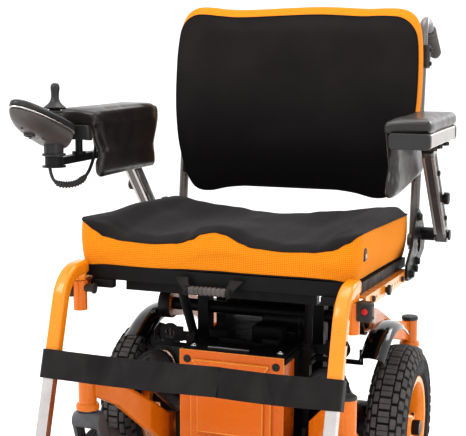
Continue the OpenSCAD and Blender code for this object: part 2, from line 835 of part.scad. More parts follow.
// Half of the calf strap: a loop round the hanger and a band across, to x = end on the far side
module calf_strap(end) {
  w = hanger_w;
  color("#1f1f21") on_leg() translate([0, 0, strap_top]) difference() {
    union() {
      linear_extrude(strap_h) rrect(w + 2 * strap_t, w + 2 * strap_t, 8);
      translate([end - leg_x, w / 2, 0]) cube([leg_x - end, strap_t, strap_h]);
    }
    translate([0, 0, -1]) linear_extrude(strap_h + 2) rrect(w, w, 6);
  }
}

base_frame();
battery_box();
batteries();
battery_lid();
front_shroud();
shroud_screws();
drive_motors();
fenders();
power_module();
right() drive_tyre();  // drive_tyre_r
drive_tyre();  // drive_tyre_l
right() drive_rim();  // drive_rim_r
drive_rim();  // drive_rim_l
right() front_arm();  // front_arm_r
front_arm();  // front_arm_l
right() caster_fork(front_x, -front_y, front_barrel[0]);  // front_fork_r
caster_fork(front_x, -front_y, front_barrel[0]);  // front_fork_l
right() caster_wheel(front_x, -front_y);  // front_caster_r
caster_wheel(front_x, -front_y);  // front_caster_l
right() rear_arm();  // rear_arm_r
rear_arm();  // rear_arm_l
right() caster_fork(rear_x, rear_y, rear_barrel[0]);  // rear_fork_r
caster_fork(rear_x, rear_y, rear_barrel[0]);  // rear_fork_l
right() caster_wheel(rear_x, rear_y);  // rear_caster_r
caster_wheel(rear_x, rear_y);  // rear_caster_l
seat_frame();
seat_rails();
cushion();
cushion_handle();
legrest_receivers();
receiver_latches();
back_brackets();
actuator_body();
actuator_rod();
back_canes();
back_panel();
back_cushion();
push_grips();
right() arm_post();  // arm_post_r
arm_post();  // arm_post_l
right() { arm_rail(); rail_cable_gland(); }  // arm_rail_r
arm_rail();  // arm_rail_l
right() arm_pad();  // arm_pad_r
arm_pad();  // arm_pad_l
controller_mount();
controller_body();
joystick_gimbal();
joystick_stick();
button_power();
button_horn();
joystick_cable();
cable_wrap();
right() hanger();  // hanger_r
hanger();  // hanger_l
right() leg_tube();  // leg_tube_r
leg_tube();  // leg_tube_l
right() footplate();  // footplate_r
footplate();  // footplate_l
right() calf_strap(-strap_joint + 1);  // calf_strap_r
calf_strap(strap_joint + 1);  // calf_strap_l
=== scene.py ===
import math
import bmesh
import bpy
import numpy as np
from mathutils import Matrix, Vector


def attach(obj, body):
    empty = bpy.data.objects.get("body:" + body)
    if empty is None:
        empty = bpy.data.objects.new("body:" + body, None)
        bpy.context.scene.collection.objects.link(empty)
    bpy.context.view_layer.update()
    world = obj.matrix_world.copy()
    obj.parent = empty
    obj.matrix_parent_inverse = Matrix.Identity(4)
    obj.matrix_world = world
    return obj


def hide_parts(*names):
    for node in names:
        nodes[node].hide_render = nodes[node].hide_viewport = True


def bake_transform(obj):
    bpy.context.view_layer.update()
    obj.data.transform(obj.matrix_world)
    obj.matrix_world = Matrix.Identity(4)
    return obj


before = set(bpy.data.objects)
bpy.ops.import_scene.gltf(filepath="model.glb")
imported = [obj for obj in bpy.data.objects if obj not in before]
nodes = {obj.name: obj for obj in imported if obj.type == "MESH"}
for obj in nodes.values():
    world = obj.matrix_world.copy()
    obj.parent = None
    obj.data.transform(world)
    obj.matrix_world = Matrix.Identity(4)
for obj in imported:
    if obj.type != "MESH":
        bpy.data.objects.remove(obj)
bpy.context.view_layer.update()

# All places and sizes below are in millimetres, in the CAD model's frame: X to the chair's
# left, Y to the back, Z up.
MM = 0.001


# ---------------------------------------------------------------- frames of the sub-assemblies
def rot(degrees, axis):
    """A turn about one axis of a frame."""
    return Matrix.Rotation(math.radians(degrees), 4, axis)


def shift(x, y, z):
    """A step along a frame's own axes."""
    return Matrix.Translation((x, y, z))


def polar(r, a, z):
    """The point at radius r, angle a in radians and height z."""
    return Vector((r * math.cos(a), r * math.sin(a), z))


def place(origin, tilt=0.0):
    """A frame at origin, turned about X by tilt degrees."""
    return Matrix.Translation(Vector(origin)) @ rot(tilt, "X")


HANGER_X = 285           # sideways place of a hanger's tube
TUBE = 28                # width of a hanger's square tube
LEG_LEAN = 17.8          # slope of the legrests from upright, degrees
BEND_START = -374        # where a hanger starts to bend down, fore and aft
BEND_R = 70              # bend of a hanger
RUN_Z = 556              # height of a hanger's level run
BEND_TURN = math.radians(90 - LEG_LEAN)
SEAT = place((0, -340, 558), -2.8)
BACK = place((0, 192, 560), -7)
CONTROLLER = place((-380, -279, 846), -20)
LEG = place((HANGER_X, BEND_START - BEND_R * math.sin(BEND_TURN),
             RUN_Z - BEND_R + BEND_R * math.cos(BEND_TURN)), 180 - LEG_LEAN)
WHEEL_R = 178            # a drive wheel over its tread
WHEEL = (304.5, 0, WHEEL_R)  # middle of the left drive wheel
FRONT_BARREL = (276, -351)
REAR_BARREL = (257, 337)
TRAIL = 50               # from a caster's swivel axis to its wheel's axle
CASTER_R = 100


def facing(origin, direction):
    """A frame at origin whose z axis points along direction."""
    turn = Vector(direction).to_track_quat("Z", "Y").to_matrix().to_4x4()
    return Matrix.Translation(Vector(origin)) @ turn


# ---------------------------------------------------------------- mesh building
class Shape:
    """Points in millimetres, and faces between them."""

    def __init__(self):
        self.points, self.faces = [], []

    def skin(self, rings, at=None, around=True, caps=True):
        """A surface through rings of points, closed by a face at each end."""
        first, n = len(self.points), len(rings[0])
        for ring in rings:
            self.points += [(at @ Vector(p)) if at else Vector(p) for p in ring]
        for i in range(len(rings) - 1):
            for k in range(n if around else n - 1):
                a, b = first + i * n + k, first + i * n + (k + 1) % n
                self.faces.append((a, b, b + n, a + n))
        if caps:
            last = first + (len(rings) - 1) * n
            self.faces.append(tuple(range(first, first + n))[::-1])
            self.faces.append(tuple(range(last, last + n)))
        return self

    def lathe(self, profile, at=None, n=32, caps=False):
        """(radius, height) pairs turned round the frame's z axis."""
        turns = [2 * math.pi * k / n for k in range(n)]
        rings = [[(r * math.cos(t), r * math.sin(t), z) for t in turns] for r, z in profile]
        return self.skin(rings, at, caps=caps)

    def rod(self, a, b, r, n=24, edge=0.8):
        """A round bar from a to b with broken edges."""
        length = (Vector(b) - Vector(a)).length
        outline = [(0, 0), (r - edge, 0), (r, edge), (r, length - edge), (r - edge, length), (0, length)]
        return self.lathe(outline, facing(a, Vector(b) - Vector(a)), n)

    def slab(self, outline, z0, z1, at=None, edge=1.0):
        """A flat outline between two heights, its edges broken by edge."""
        mid = Vector((sum(p[0] for p in outline), sum(p[1] for p in outline))) / len(outline)

        def ring(z, inset):
            out = []
            for p in outline:
                d = Vector(p[:2]) - mid
                q = mid + d * max(0.0, 1 - inset / max(d.length, 1e-6))
                out.append((q.x, q.y, z))
            return out
        return self.skin([ring(z0, edge), ring(z0 + edge, 0), ring(z1 - edge, 0), ring(z1, edge)], at)

    def sweep(self, path, section, caps=True, up=(0, 0, 1), spin=0.0, scale=None):
        """A flat section, a list of (side, up) pairs, carried along a path of points."""
        path = [Vector(p) for p in path]
        side, rings = None, []
        for i, p in enumerate(path):
            along = (path[min(i + 1, len(path) - 1)] - path[max(i - 1, 0)]).normalized()
            if side is None:
                side = along.cross(Vector(up))
                if side.length < 1e-3:
                    side = along.cross(Vector((0, 1, 0)))
            side = (side - along * side.dot(along)).normalized()
            rise = side.cross(along)
            c, s = math.cos(spin * i), math.sin(spin * i)
            k = float(scale[i]) if scale else 1.0
            rings.append([p + (k * (u * c - v * s)) * side + (k * (u * s + v * c)) * rise
                          for u, v in section])
        return self.skin(rings, caps=caps)

    def mirrored(self):
        """A copy on the chair's other side."""
        other = Shape()
        other.points = [Vector((-p[0], p[1], p[2])) for p in self.points]
        other.faces = [f[::-1] for f in self.faces]
        return other

    def both(self):
        """This shape and its copy on the other side as one."""
        other = self.mirrored()
        first = len(self.points)
        self.points += other.points
        self.faces += [tuple(first + i for i in f) for f in other.faces]
        return self


def circle(r, n=12, start=0.0):
    return [(r * math.cos(start + 2 * math.pi * k / n), r * math.sin(start + 2 * math.pi * k / n))
            for k in range(n)]


def rounded(w, h, r, n=6):
    """A rounded rectangle, centred, anticlockwise, with n steps round each corner."""
    out = []
    for sx, sy, a in ((1, 1, 0), (-1, 1, 90), (-1, -1, 180), (1, -1, 270)):
        for k in range(n + 1):
            t = math.radians(a + 90 * k / n)
            out.append((sx * (w / 2 - r) + r * math.cos(t), sy * (h / 2 - r) + r * math.sin(t)))
    return out


def curve(points, steps=8, closed=False):
    """A smooth line through a few points, as many steps between each pair."""
    pts = [Vector(p) for p in points]
    m = len(pts)
    out = []
    for i in range(m if closed else m - 1):
        p = [pts[(i + j) % m] if closed else pts[min(max(i + j, 0), m - 1)] for j in (-1, 0, 1, 2)]
        for k in range(steps):
            t = k / steps
            out.append(0.5 * (2 * p[1] + (p[2] - p[0]) * t + (2 * p[0] - 5 * p[1] + 4 * p[2] - p[3]) * t * t
                              + (3 * p[1] - p[0] - 3 * p[2] + p[3]) * t ** 3))
    if not closed:
        out.append(pts[-1])
    return out


def run_lengths(points):
    """The length along a line of points up to each of them."""
    lengths = [0.0]
    for a, b in zip(points, points[1:]):
        lengths.append(lengths[-1] + (b - a).length)
    return lengths


def spaced(points, count, closed=False):
    """count points at equal steps along a line of points."""
    pts = [Vector(p) for p in points] + ([Vector(points[0])] if closed else [])
    lengths = run_lengths(pts)
    out, j = [], 0
    for i in range(count):
        target = lengths[-1] * i / (count if closed else count - 1)
        while j < len(pts) - 2 and lengths[j + 1] < target:
            j += 1
        span = max(lengths[j + 1] - lengths[j], 1e-9)
        out.append(pts[j].lerp(pts[j + 1], (target - lengths[j]) / span))
    return out


def smooth(t):
    t = min(1.0, max(0.0, t))
    return t * t * (3 - 2 * t)


def through(table, x):
    """The smooth height at x of a line through (x, height) pairs."""
    if x <= table[0][0]:
        return table[0][1]
    for (x0, y0), (x1, y1) in zip(table, table[1:]):
        if x <= x1:
            return y0 + (y1 - y0) * smooth((x - x0) / (x1 - x0))
    return table[-1][1]


def outward(mesh):
    """Turns the faces of a closed mesh outwards."""
    bm = bmesh.new()
    bm.from_mesh(mesh)
    bmesh.ops.recalc_face_normals(bm, faces=bm.faces)
    bm.to_mesh(mesh)
    bm.free()


def mesh_of(name, shape, clean=True):
    mesh = bpy.data.meshes.new(name)
    mesh.from_pydata([Vector(p) * MM for p in shape.points], [], shape.faces)
    if clean:
        bm = bmesh.new()
        bm.from_mesh(mesh)
        bmesh.ops.remove_doubles(bm, verts=bm.verts, dist=1e-6)
        bmesh.ops.dissolve_degenerate(bm, edges=bm.edges, dist=1e-7)
        bmesh.ops.recalc_face_normals(bm, faces=bm.faces)
        bm.to_mesh(mesh)
        bm.free()
    obj = bpy.data.objects.new(name, mesh)
    bpy.context.scene.collection.objects.link(obj)
    return obj


def finish_mesh(obj, material, body, slot=None, replaces=(), sharp=35, bevel=0.0, subdiv=0, shell=0.0):
    """Gives a mesh its shading, material and the CAD nodes it stands for. body is the body it rides on, or
    (body, body, start, end) for a piece that runs between two, which is only fixed where it stands."""
    obj.data.materials.clear()
    obj.data.materials.append(material)
    obj.data.shade_smooth()
    if sharp:
        obj.data.set_sharp_from_angle(angle=math.radians(sharp))
    if shell:
        m = obj.modifiers.new("thickness", "SOLIDIFY")
        m.thickness, m.offset = shell * MM, -1
    if bevel:
        m = obj.modifiers.new("edges", "BEVEL")
        m.width, m.segments, m.limit_method = bevel * MM, 2, "ANGLE"
        m.angle_limit = math.radians(40)
    if subdiv:
        m = obj.modifiers.new("smooth", "SUBSURF")
        m.levels = m.render_levels = subdiv
    if isinstance(body, str):
        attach(obj, body)
    else:
        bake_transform(obj)
    if replaces:
        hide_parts(*replaces)
    return obj


def piece(name, shape, material, body, slot=None, **options):
    return finish_mesh(mesh_of(name, shape), material, body, slot, **options)


def pair(name, shape, material, body, slot=None, replaces=(), **options):
    """The piece on both sides: name_l on body_l, and its mirror image name_r on body_r."""
    out = []
    for side, s in (("l", shape), ("r", shape.mirrored())):
        out.append(piece(f"{name}_{side}", s, material, f"{body}_{side}", slot,
                         replaces=[f"{n}_{side}" for n in replaces], **options))
    return out


# ---------------------------------------------------------------- materials
class Finish:
    """A procedural material around one Principled shader."""

    def __init__(self, name, color, roughness, **sockets):
        self.material = bpy.data.materials.new(name)
        self.material.use_nodes = True
        self.tree = self.material.node_tree
        self.shader = self.tree.nodes["Principled BSDF"]
        self.where = self.tree.nodes.new("ShaderNodeTexCoord").outputs["Object"]
        self.color, self.normal = color, None
        self.shader.inputs["Base Color"].default_value = (*color, 1)
        self.shader.inputs["Roughness"].default_value = roughness
        for key, value in sockets.items():
            self.shader.inputs[key.replace("_", " ")].default_value = value

    def node(self, kind, inputs=(), output=0, **settings):
        """Adds a node; an input may be a number, a colour or another node's output."""
        made = self.tree.nodes.new("ShaderNode" + kind)
        for key, value in settings.items():
            setattr(made, key, value)
        for key, value in dict(inputs).items():
            if isinstance(value, bpy.types.NodeSocket):
                self.tree.links.new(value, made.inputs[key])
            else:
                made.inputs[key].default_value = value
        return made.outputs[output]

    def noise(self, scale, detail=3, stretch=None, roughness=0.5):
        where = self.where
        if stretch:
            where = self.node("Mapping", {"Vector": where, "Scale": stretch})
        return self.node("TexNoise", {"Vector": where, "Scale": scale, "Detail": detail,
                                      "Roughness": roughness})

    def remap(self, value, low, high, to_low=0.0, to_high=1.0):
        return self.node("MapRange", {"Value": value, "From Min": low, "From Max": high,
                                      "To Min": to_low, "To Max": to_high})

    def math(self, operation, a, b=0.0):
        return self.node("Math", {0: a, 1: b}, operation=operation)

    def mix(self, factor, a, b):
        """A colour between a and b."""
        made = self.tree.nodes.new("ShaderNodeMix")
        made.data_type = "RGBA"
        for index, value in ((0, factor), (6, a), (7, b)):
            if isinstance(value, bpy.types.NodeSocket):
                self.tree.links.new(value, made.inputs[index])
            else:
                made.inputs[index].default_value = value if index == 0 else (*value, 1)
        return made.outputs[2]

    def link(self, value, socket):
        self.tree.links.new(value, self.shader.inputs[socket])

    def shade(self, scale, amount, detail=3, stretch=None):
        """Varies the colour by amount with a noise."""
        dark = tuple(c * (1 - amount) for c in self.color)
        light = tuple(min(1.0, c * (1 + amount)) for c in self.color)
        factor = self.remap(self.noise(scale, detail, stretch), 0.3, 0.7)
        self.base = self.mix(factor, dark, light)
        self.link(self.base, "Base Color")
        return self

    def over(self, factor, color):
        """Lays another colour over the one so far."""
        self.base = self.mix(factor, self.base, color)
        self.link(self.base, "Base Color")
        return self

    def polish(self, scale, low, high, stretch=None):
        """Varies the roughness between low and high."""
        self.link(self.remap(self.noise(scale, 4, stretch), 0.35, 0.65, low, high), "Roughness")
        return self

    def bump(self, height, strength, depth):
        """Adds a relief of depth millimetres on top of those so far."""
        inputs = {"Height": height, "Strength": strength, "Distance": depth * MM}
        if self.normal is not None:
            inputs["Normal"] = self.normal
        self.normal = self.node("Bump", inputs)
        self.link(self.normal, "Normal")
        return self

    def edges(self, radius, color=None, amount=0.5):
        """Rounds the edges by radius millimetres in shading, and lightens them towards color as a painted
        highlight.
        """
        soft = self.node("Bevel", {"Radius": radius * MM}, samples=4)
        if color:
            flat = self.node("NewGeometry", output=1)
            same = self.node("VectorMath", {0: soft, 1: flat}, output=1, operation="DOT_PRODUCT")
            # painted highlight: lighter where the rounded normal turns away from the face
            self.over(self.remap(same, 0.995, 0.85, 0.0, amount), color)
        self.normal = soft
        self.link(soft, "Normal")
        return self

    def weave(self, pitch):
        """A woven relief: crossing diagonal ribs of pitch millimetres in the cloth's own plane."""
        flat = self.node("Attribute", output=1, attribute_name="cloth")
        k = 2 * math.pi / pitch
        part = self.node("SeparateXYZ", {0: flat}).node
        u, v = part.outputs[0], part.outputs[1]
        one = self.math("SINE", self.math("MULTIPLY", self.math("ADD", u, v), k))
        two = self.math("SINE", self.math("MULTIPLY", self.math("SUBTRACT", u, v), k))
        return self.remap(self.math("MULTIPLY", one, two), -1, 1)


def paint(name, color, edge, roughness=(0.2, 0.34), coat=0.6, dirt=0.08, corner=1.4, edge_highlight=0.7):
    """Gloss paint with orange peel, broken edges lightened as a painted highlight, and a trace of dust."""
    f = Finish(name, color, 0.3, Coat_Weight=coat, Coat_Roughness=0.07, Specular_IOR_Level=0.3)
    # the edges are lightened towards the edge colour as a painted highlight
    f.shade(6, dirt, 4).edges(corner, edge, edge_highlight)
    f.bump(f.noise(420, 2), 0.12, 0.3)
    return f.polish(30, *roughness).material


def coated(name, color, edge, roughness=(0.4, 0.55), grain=0.25):
    """Powder-coated or blackened steel with a fine grain, and its edges lightened as a painted highlight."""
    f = Finish(name, color, 0.5, Specular_IOR_Level=0.2)
    f.shade(9, 0.25, 5).edges(1.0, edge, 0.55)
    f.bump(f.noise(900, 3), grain, 0.2)
    return f.polish(45, *roughness).material


def metal(name, color, roughness, streaks=(1, 1, 30), scale=60, bump=0.08):
    """Bare metal with drawn or brushed lines."""
    f = Finish(name, color, 0.3, Metallic=1.0)
    # the edges are lightened a quarter as a painted highlight
    f.shade(14, 0.1, 4).edges(0.8, tuple(min(1, c * 1.25) for c in color), 0.5)
    f.bump(f.noise(scale, 4, streaks), bump, 0.2)
    return f.polish(scale, *roughness, stretch=streaks).material


def plastic(name, color, roughness=(0.42, 0.56), grain=0.3, edge=None, **sockets):
    """Moulded plastic with a sparked grain."""
    f = Finish(name, color, 0.5, **sockets)
    # the edges are lightened towards the edge colour as a painted highlight
    f.shade(12, 0.14, 3).edges(0.7, edge or tuple(c * 1.9 + 0.01 for c in color), 0.4)
    f.bump(f.noise(1500, 2), grain, 0.12)
    return f.polish(60, *roughness).material


def rubber(name, color, dust, roughness=(0.66, 0.86)):
    """Rubber with dust in its pores and scuffs, and edges lightened as a painted highlight."""
    f = Finish(name, color, 0.75, Specular_IOR_Level=0.35)
    f.shade(22, 0.22, 4)
    f.over(f.remap(f.noise(70, 6, roughness=0.7), 0.52, 0.78, 0.0, 0.55), dust)
    # painted highlight on the edges
    f.edges(1.4, tuple(c * 1.8 for c in color), 0.6)
    f.bump(f.noise(700, 4), 0.35, 0.35)
    return f.polish(50, *roughness).material


def spacer_mesh(name, color, deep):
    """Knitted spacer fabric: open diagonal ribs over a deeper ground."""
    f = Finish(name, color, 0.85, Sheen_Weight=0.04, Sheen_Roughness=0.5, Specular_IOR_Level=0.1)
    f.shade(5, 0.05, 3)
    ribs = f.weave(7.6)
    f.over(f.remap(ribs, 0.50, 0.10, 0.0, 0.8), deep)
    f.over(f.remap(f.noise(260, 3), 0.55, 0.8, 0.0, 0.25), deep)
    f.bump(ribs, 0.6, 1.2).bump(f.noise(900, 2), 0.2, 0.3)
    return f.material


def fine_cloth(name, color, sheen, painted_low_shade=False):
    """Close black knit with a soft nap; the flag at the end darkens it towards the backrest's lower edge as
    painted shade.
    """
    f = Finish(name, color, 0.92, Sheen_Weight=sheen, Sheen_Roughness=0.45, Specular_IOR_Level=0.09)
    f.shade(9, 0.18, 5)
    if painted_low_shade:
        # painted shade: darker towards the bottom, down to an eighth of the colour
        height = f.node("SeparateXYZ", {0: f.where}, output=2)
        f.over(f.remap(height, 0.96, 0.74, 0.0, 0.85), tuple(c * 0.12 for c in color))
    knit = f.weave(1.9)
    f.over(f.remap(knit, 0.4, 0.1, 0.0, 0.5), tuple(c * 0.4 for c in color))
    f.over(f.remap(f.noise(620, 4, roughness=0.75), 0.6, 0.82, 0.0, 0.45), tuple(c * 3.4 for c in color))
    f.bump(knit, 0.35, 0.4).bump(f.noise(1300, 2), 0.3, 0.25)
    return f.material


STITCH_ROWS = (112, 129, 146)         # heights of the stitch rows on the calf strap, down the leg


def webbing(name, color):
    """Strap webbing: ribs across the width, a herringbone lift, painted highlights in streaks and three rows
    of stitches.
    """
    f = Finish(name, color, 0.6, Sheen_Weight=0.02, Specular_IOR_Level=0.2)
    f.shade(18, 0.22, 4)
    ribs = f.weave(2.2)
    f.over(f.remap(ribs, 0.4, 0.08, 0.0, 0.6), tuple(c * 0.35 for c in color))
    # painted highlights: lighter streaks standing in for glints on the puckers
    f.over(f.remap(f.noise(19, 4, (1, 1, 0.3)), 0.52, 0.70, 0.0, 0.45), tuple(c * 2.2 for c in color))
    flat = f.node("Attribute", output=1, attribute_name="cloth")
    part = f.node("SeparateXYZ", {0: flat}).node
    dash = f.remap(f.math("SINE", f.math("MULTIPLY", part.outputs[0], 2 * math.pi / 4.2)), -0.3, 0.1)
    for row in STITCH_ROWS:
        away = f.math("ABSOLUTE", f.math("SUBTRACT", part.outputs[1], row))
        stitch = f.math("MULTIPLY", f.remap(away, 1.0, 0.5), dash)
        f.over(f.math("MULTIPLY", stitch, 0.35), tuple(c * 2.5 for c in color))
        f.bump(stitch, 0.3, 0.5)
    f.bump(ribs, 0.5, 0.5).bump(f.noise(46, 3, (1, 1, 0.4)), 0.5, 3.0)
    return f.polish(16, 0.34, 0.66, stretch=(1, 1, 0.4)).material


def vinyl(name, color):
    """Upholstery vinyl: pebbled grain, soft creases, satin surface."""
    f = Finish(name, color, 0.42, Coat_Weight=0.5, Coat_Roughness=0.22, Specular_IOR_Level=0.3)
    f.shade(10, 0.2, 4)
    cells = f.node("TexVoronoi", {"Vector": f.where, "Scale": 620}, feature="DISTANCE_TO_EDGE")
    f.over(f.remap(f.noise(40, 5, roughness=0.65), 0.55, 0.8, 0.0, 0.35), tuple(c * 2.2 for c in color))
    f.bump(f.remap(cells, 0.0, 0.25), 0.3, 0.18).bump(f.noise(34, 4, (1, 0.5, 1)), 0.35, 1.6)
    return f.polish(26, 0.34, 0.5).material


def glow(name, color, strength):
    """A small reflector behind a clear lens, made to glow with emission as painted light."""
    f = Finish(name, color, 0.25, Coat_Weight=0.8)
    f.shade(120, 0.15)
    f.shader.inputs["Emission Color"].default_value = (*color, 1)
    f.shader.inputs["Emission Strength"].default_value = strength
    return f.material


MAT = {
    # One orange paint in three copies: the first is darkened as painted shade for the arms, barrels and
    # receivers; the shroud's is darker still as painted shade, with strong painted edge highlights; the third
    # is lighter as painted light, for the rims, rails, hangers and fold highlights.
    "orange_paint": paint("orange_paint", (0.64, 0.152, 0.004), (1.0, 0.47, 0.08), coat=0.35),
    "shroud_paint": paint("shroud_paint", (0.62, 0.128, 0.003), (1.0, 0.50, 0.10), coat=0.14, dirt=0.05,
                          corner=2.6, edge_highlight=0.95),
    "lit_orange_paint": paint("lit_orange_paint", (0.76, 0.235, 0.007), (1.0, 0.66, 0.24), coat=0.5),
    "gloss_black": paint("gloss_black", (0.003, 0.003, 0.003), (0.10, 0.10, 0.10), (0.06, 0.16), 0.45, 0.3),
    "frame_black": coated("frame_black", (0.005, 0.0045, 0.0045), (0.045, 0.043, 0.043), (0.4, 0.56)),
    "box_black": coated("box_black", (0.005, 0.0046, 0.0046), (0.05, 0.048, 0.048), (0.5, 0.7)),
    "bolt_black": metal("bolt_black", (0.05, 0.048, 0.046), (0.3, 0.5), (1, 1, 1), 200),
    "motor_black": coated("motor_black", (0.012, 0.011, 0.011), (0.07, 0.066, 0.064), (0.25, 0.42)),
    "battery_grey": plastic("battery_grey", (0.035, 0.035, 0.038)),
    "fork_grey": coated("fork_grey", (0.085, 0.085, 0.09), (0.26, 0.26, 0.27), (0.3, 0.42), 0.15),
    "cane_grey": paint("cane_grey", (0.115, 0.108, 0.107), (0.36, 0.34, 0.34), (0.2, 0.3), 0.7, 0.12),
    "post_grey": paint("post_grey", (0.055, 0.050, 0.049), (0.34, 0.31, 0.30), (0.16, 0.3), 0.8, 0.1),
    "arm_aluminium": metal("arm_aluminium", (0.50, 0.47, 0.46), (0.28, 0.42), (1, 30, 1), 40),
    "chrome": metal("chrome", (0.86, 0.86, 0.87), (0.05, 0.14), (1, 1, 1), 80, 0.03),
    "silver_tube": metal("silver_tube", (0.60, 0.57, 0.56), (0.24, 0.32), (8, 8, 1), 14, 0.02),
    "black_plastic": plastic("black_plastic", (0.019, 0.018, 0.018)),
    "grip_rubber": rubber("grip_rubber", (0.088, 0.078, 0.075), (0.15, 0.135, 0.13), (0.45, 0.65)),
    "tyre_rubber": rubber("tyre_rubber", (0.066, 0.060, 0.060), (0.15, 0.14, 0.138)),
    "tyre_groove": rubber("tyre_groove", (0.009, 0.009, 0.010), (0.022, 0.021, 0.02)),
    "caster_rubber": rubber("caster_rubber", (0.075, 0.075, 0.078), (0.14, 0.138, 0.135)),
    "controller_dark": plastic("controller_dark", (0.017, 0.015, 0.015), (0.34, 0.48)),
    "controller_under": plastic("controller_under", (0.078, 0.068, 0.066), (0.3, 0.42), 0.25),
    "rim_silver": metal("rim_silver", (0.62, 0.60, 0.59), (0.25, 0.38), (1, 1, 1), 60),
    "button_green": plastic("button_green", (0.035, 0.22, 0.06), (0.3, 0.42)),
    "button_grey": plastic("button_grey", (0.27, 0.27, 0.28), (0.3, 0.42)),
    "button_red": plastic("button_red", (0.40, 0.010, 0.012), (0.22, 0.34)),
    "cable_black": plastic("cable_black", (0.014, 0.013, 0.013), (0.3, 0.42), 0.15),
    "orange_dot": glow("orange_dot", (1.0, 0.14, 0.02), 0.4),
    "orange_mesh": spacer_mesh("orange_mesh", (0.76, 0.262, 0.013), (0.46, 0.095, 0.003)),
    "black_fabric": fine_cloth("black_fabric", (0.018, 0.0155, 0.0158), 0.09),
    "back_fabric": fine_cloth("back_fabric", (0.021, 0.0178, 0.0182), 0.06, painted_low_shade=True),
    "webbing": webbing("webbing", (0.0105, 0.0085, 0.0085)),
    "black_vinyl": vinyl("black_vinyl", (0.017, 0.0130, 0.0122)),
}


# ---------------------------------------------------------------- camera, floor and light
AZIMUTH, ELEVATION = math.radians(20.9), math.radians(8.1)
CAMERA_AT = Vector((790.9, -2385.9, 996.6))


def make_camera():
    data = bpy.data.cameras.new("camera")
    data.sensor_width, data.lens = 36, 87.78
    data.shift_x, data.shift_y = 0.0322, -0.0161
    data.clip_start, data.clip_end = 0.1, 60
    camera = bpy.data.objects.new("camera", data)
    back = Vector((math.sin(AZIMUTH) * math.cos(ELEVATION), -math.cos(AZIMUTH) * math.cos(ELEVATION),
                   math.sin(ELEVATION)))
    camera.location = CAMERA_AT * MM
    camera.rotation_mode = "QUATERNION"
    camera.rotation_quaternion = (-back).to_track_quat("-Z", "Y")
    bpy.context.scene.collection.objects.link(camera)
    bpy.context.scene.camera = camera


def make_light():
    scene = bpy.context.scene
    scene.view_settings.view_transform = "Standard"
    scene.view_settings.look = "Medium High Contrast"
    world = bpy.data.worlds.new("studio")
    world.use_nodes = True
    world.node_tree.nodes["Background"].inputs["Color"].default_value = (1, 1, 1, 1)
    world.node_tree.nodes["Background"].inputs["Strength"].default_value = 1.0
    scene.world = world
    aim = Vector((0, 0, 0.6))
    lamps = (("key", (-1.6, -2.6, 3.1), 1.4, 34), ("fill", (2.8, -1.6, 1.9), 1.6, 14),
             ("top", (0.2, 0.5, 3.4), 1.8, 26), ("rim", (1.6, 2.6, 2.2), 1.2, 20))
    for name, at, size, power in lamps:
        data = bpy.data.lights.new(name, "AREA")
        data.size, data.energy = size, power
        lamp = bpy.data.objects.new(name, data)
        lamp.location = at
        lamp.rotation_mode = "QUATERNION"
        lamp.rotation_quaternion = (aim - Vector(at)).to_track_quat("-Z", "Y")
        scene.collection.objects.link(lamp)
    # an even overhead wash, so that the floor stays as white as the wall behind
    data = bpy.data.lights.new("wash", "SUN")
    data.energy, data.angle = 0.5, math.radians(60)
    wash = bpy.data.objects.new("wash", data)
    wash.rotation_mode = "QUATERNION"
    wash.rotation_quaternion = Vector((0.25, 0.45, -1)).to_track_quat("-Z", "Y")
    scene.collection.objects.link(wash)


def make_floor():
    """A pale studio floor, slightly mottled, that runs out of sight."""
    f = Finish("floor", (0.93, 0.93, 0.93), 0.6)
    f.shade(3, 0.012, 2)
    floor = Shape().lathe([(0, -0.5), (2500, -0.5), (9000, -0.5), (26000, -0.5)], n=48)
    obj = mesh_of("floor", floor)
    obj.data.materials.append(f.material)


make_camera()
make_light()
make_floor()


# ---------------------------------------------------------------- controller cable
# The same points as the CAD model's cable: out of the controller, down its sag, up to the rail
CABLE = [(-404, -262, 779), (-404, -262, 768), (-404, -262, 756), (-404, -261, 744), (-402, -260, 732),
         (-399, -258, 722), (-394, -256, 715), (-387, -253, 711), (-378, -248, 709), (-368, -242, 709),
         (-358, -235, 711), (-350, -226, 716), (-345, -214, 724), (-343, -200, 735), (-343, -187, 748),
         (-343, -176, 763), (-343, -169, 777), (-343, -166, 790), (-343, -165, 799)]
CABLE_R = 3.5


def cable():
    bends = ("controller", "arm_r", CABLE[0], CABLE[13])
    route = curve(CABLE, 6)
    lead = piece("joystick_lead", Shape().sweep(route, circle(CABLE_R, 12)), MAT["cable_black"], bends,
                 "cable_black", replaces=["joystick_cable"], sharp=60)
    # spiral wrap that gathers the slack: a ribbed sleeve round the lead, thinner at its ends
    turns, steps = 12, 8
    count = turns * steps + 1
    radii = [5.0 + 2.0 * smooth(min(i, count - 1 - i) / 14) + 1.0 * math.cos(2 * math.pi * i / steps)
             for i in range(count)]
    sleeve = Shape().sweep(spaced(curve(CABLE[6:13], 8), count), circle(1.0, 16), scale=radii)
    wrap = piece("cable_spiral_wrap", sleeve, MAT["black_plastic"], bends, "cable_black",
                 replaces=["cable_wrap"], sharp=0)
    # strain reliefs at the controller and under the arm rail, stepped and tapered
    for name, top, body in (("controller_relief", (-404, -262, 803), "controller"),
                            ("rail_relief", (-343, -165, 807), "arm_r")):
        steps = [(0, 0), (6.6, 0), (6.6, 7)]
        for i in range(5):
            r, low = 6.2 - 0.55 * i, 7.6 + 4 * i
            steps += [(r, low), (r, low + 2.4), (r - 0.9, low + 2.8), (r - 0.9, low + 3.6)]
        steps += [(3.8, 29), (0, 29)]
        piece(name, Shape().lathe(steps, facing(top, (0, 0, -1)), 20), MAT["grip_rubber"], body,
              "cable_black", sharp=45)


cable()


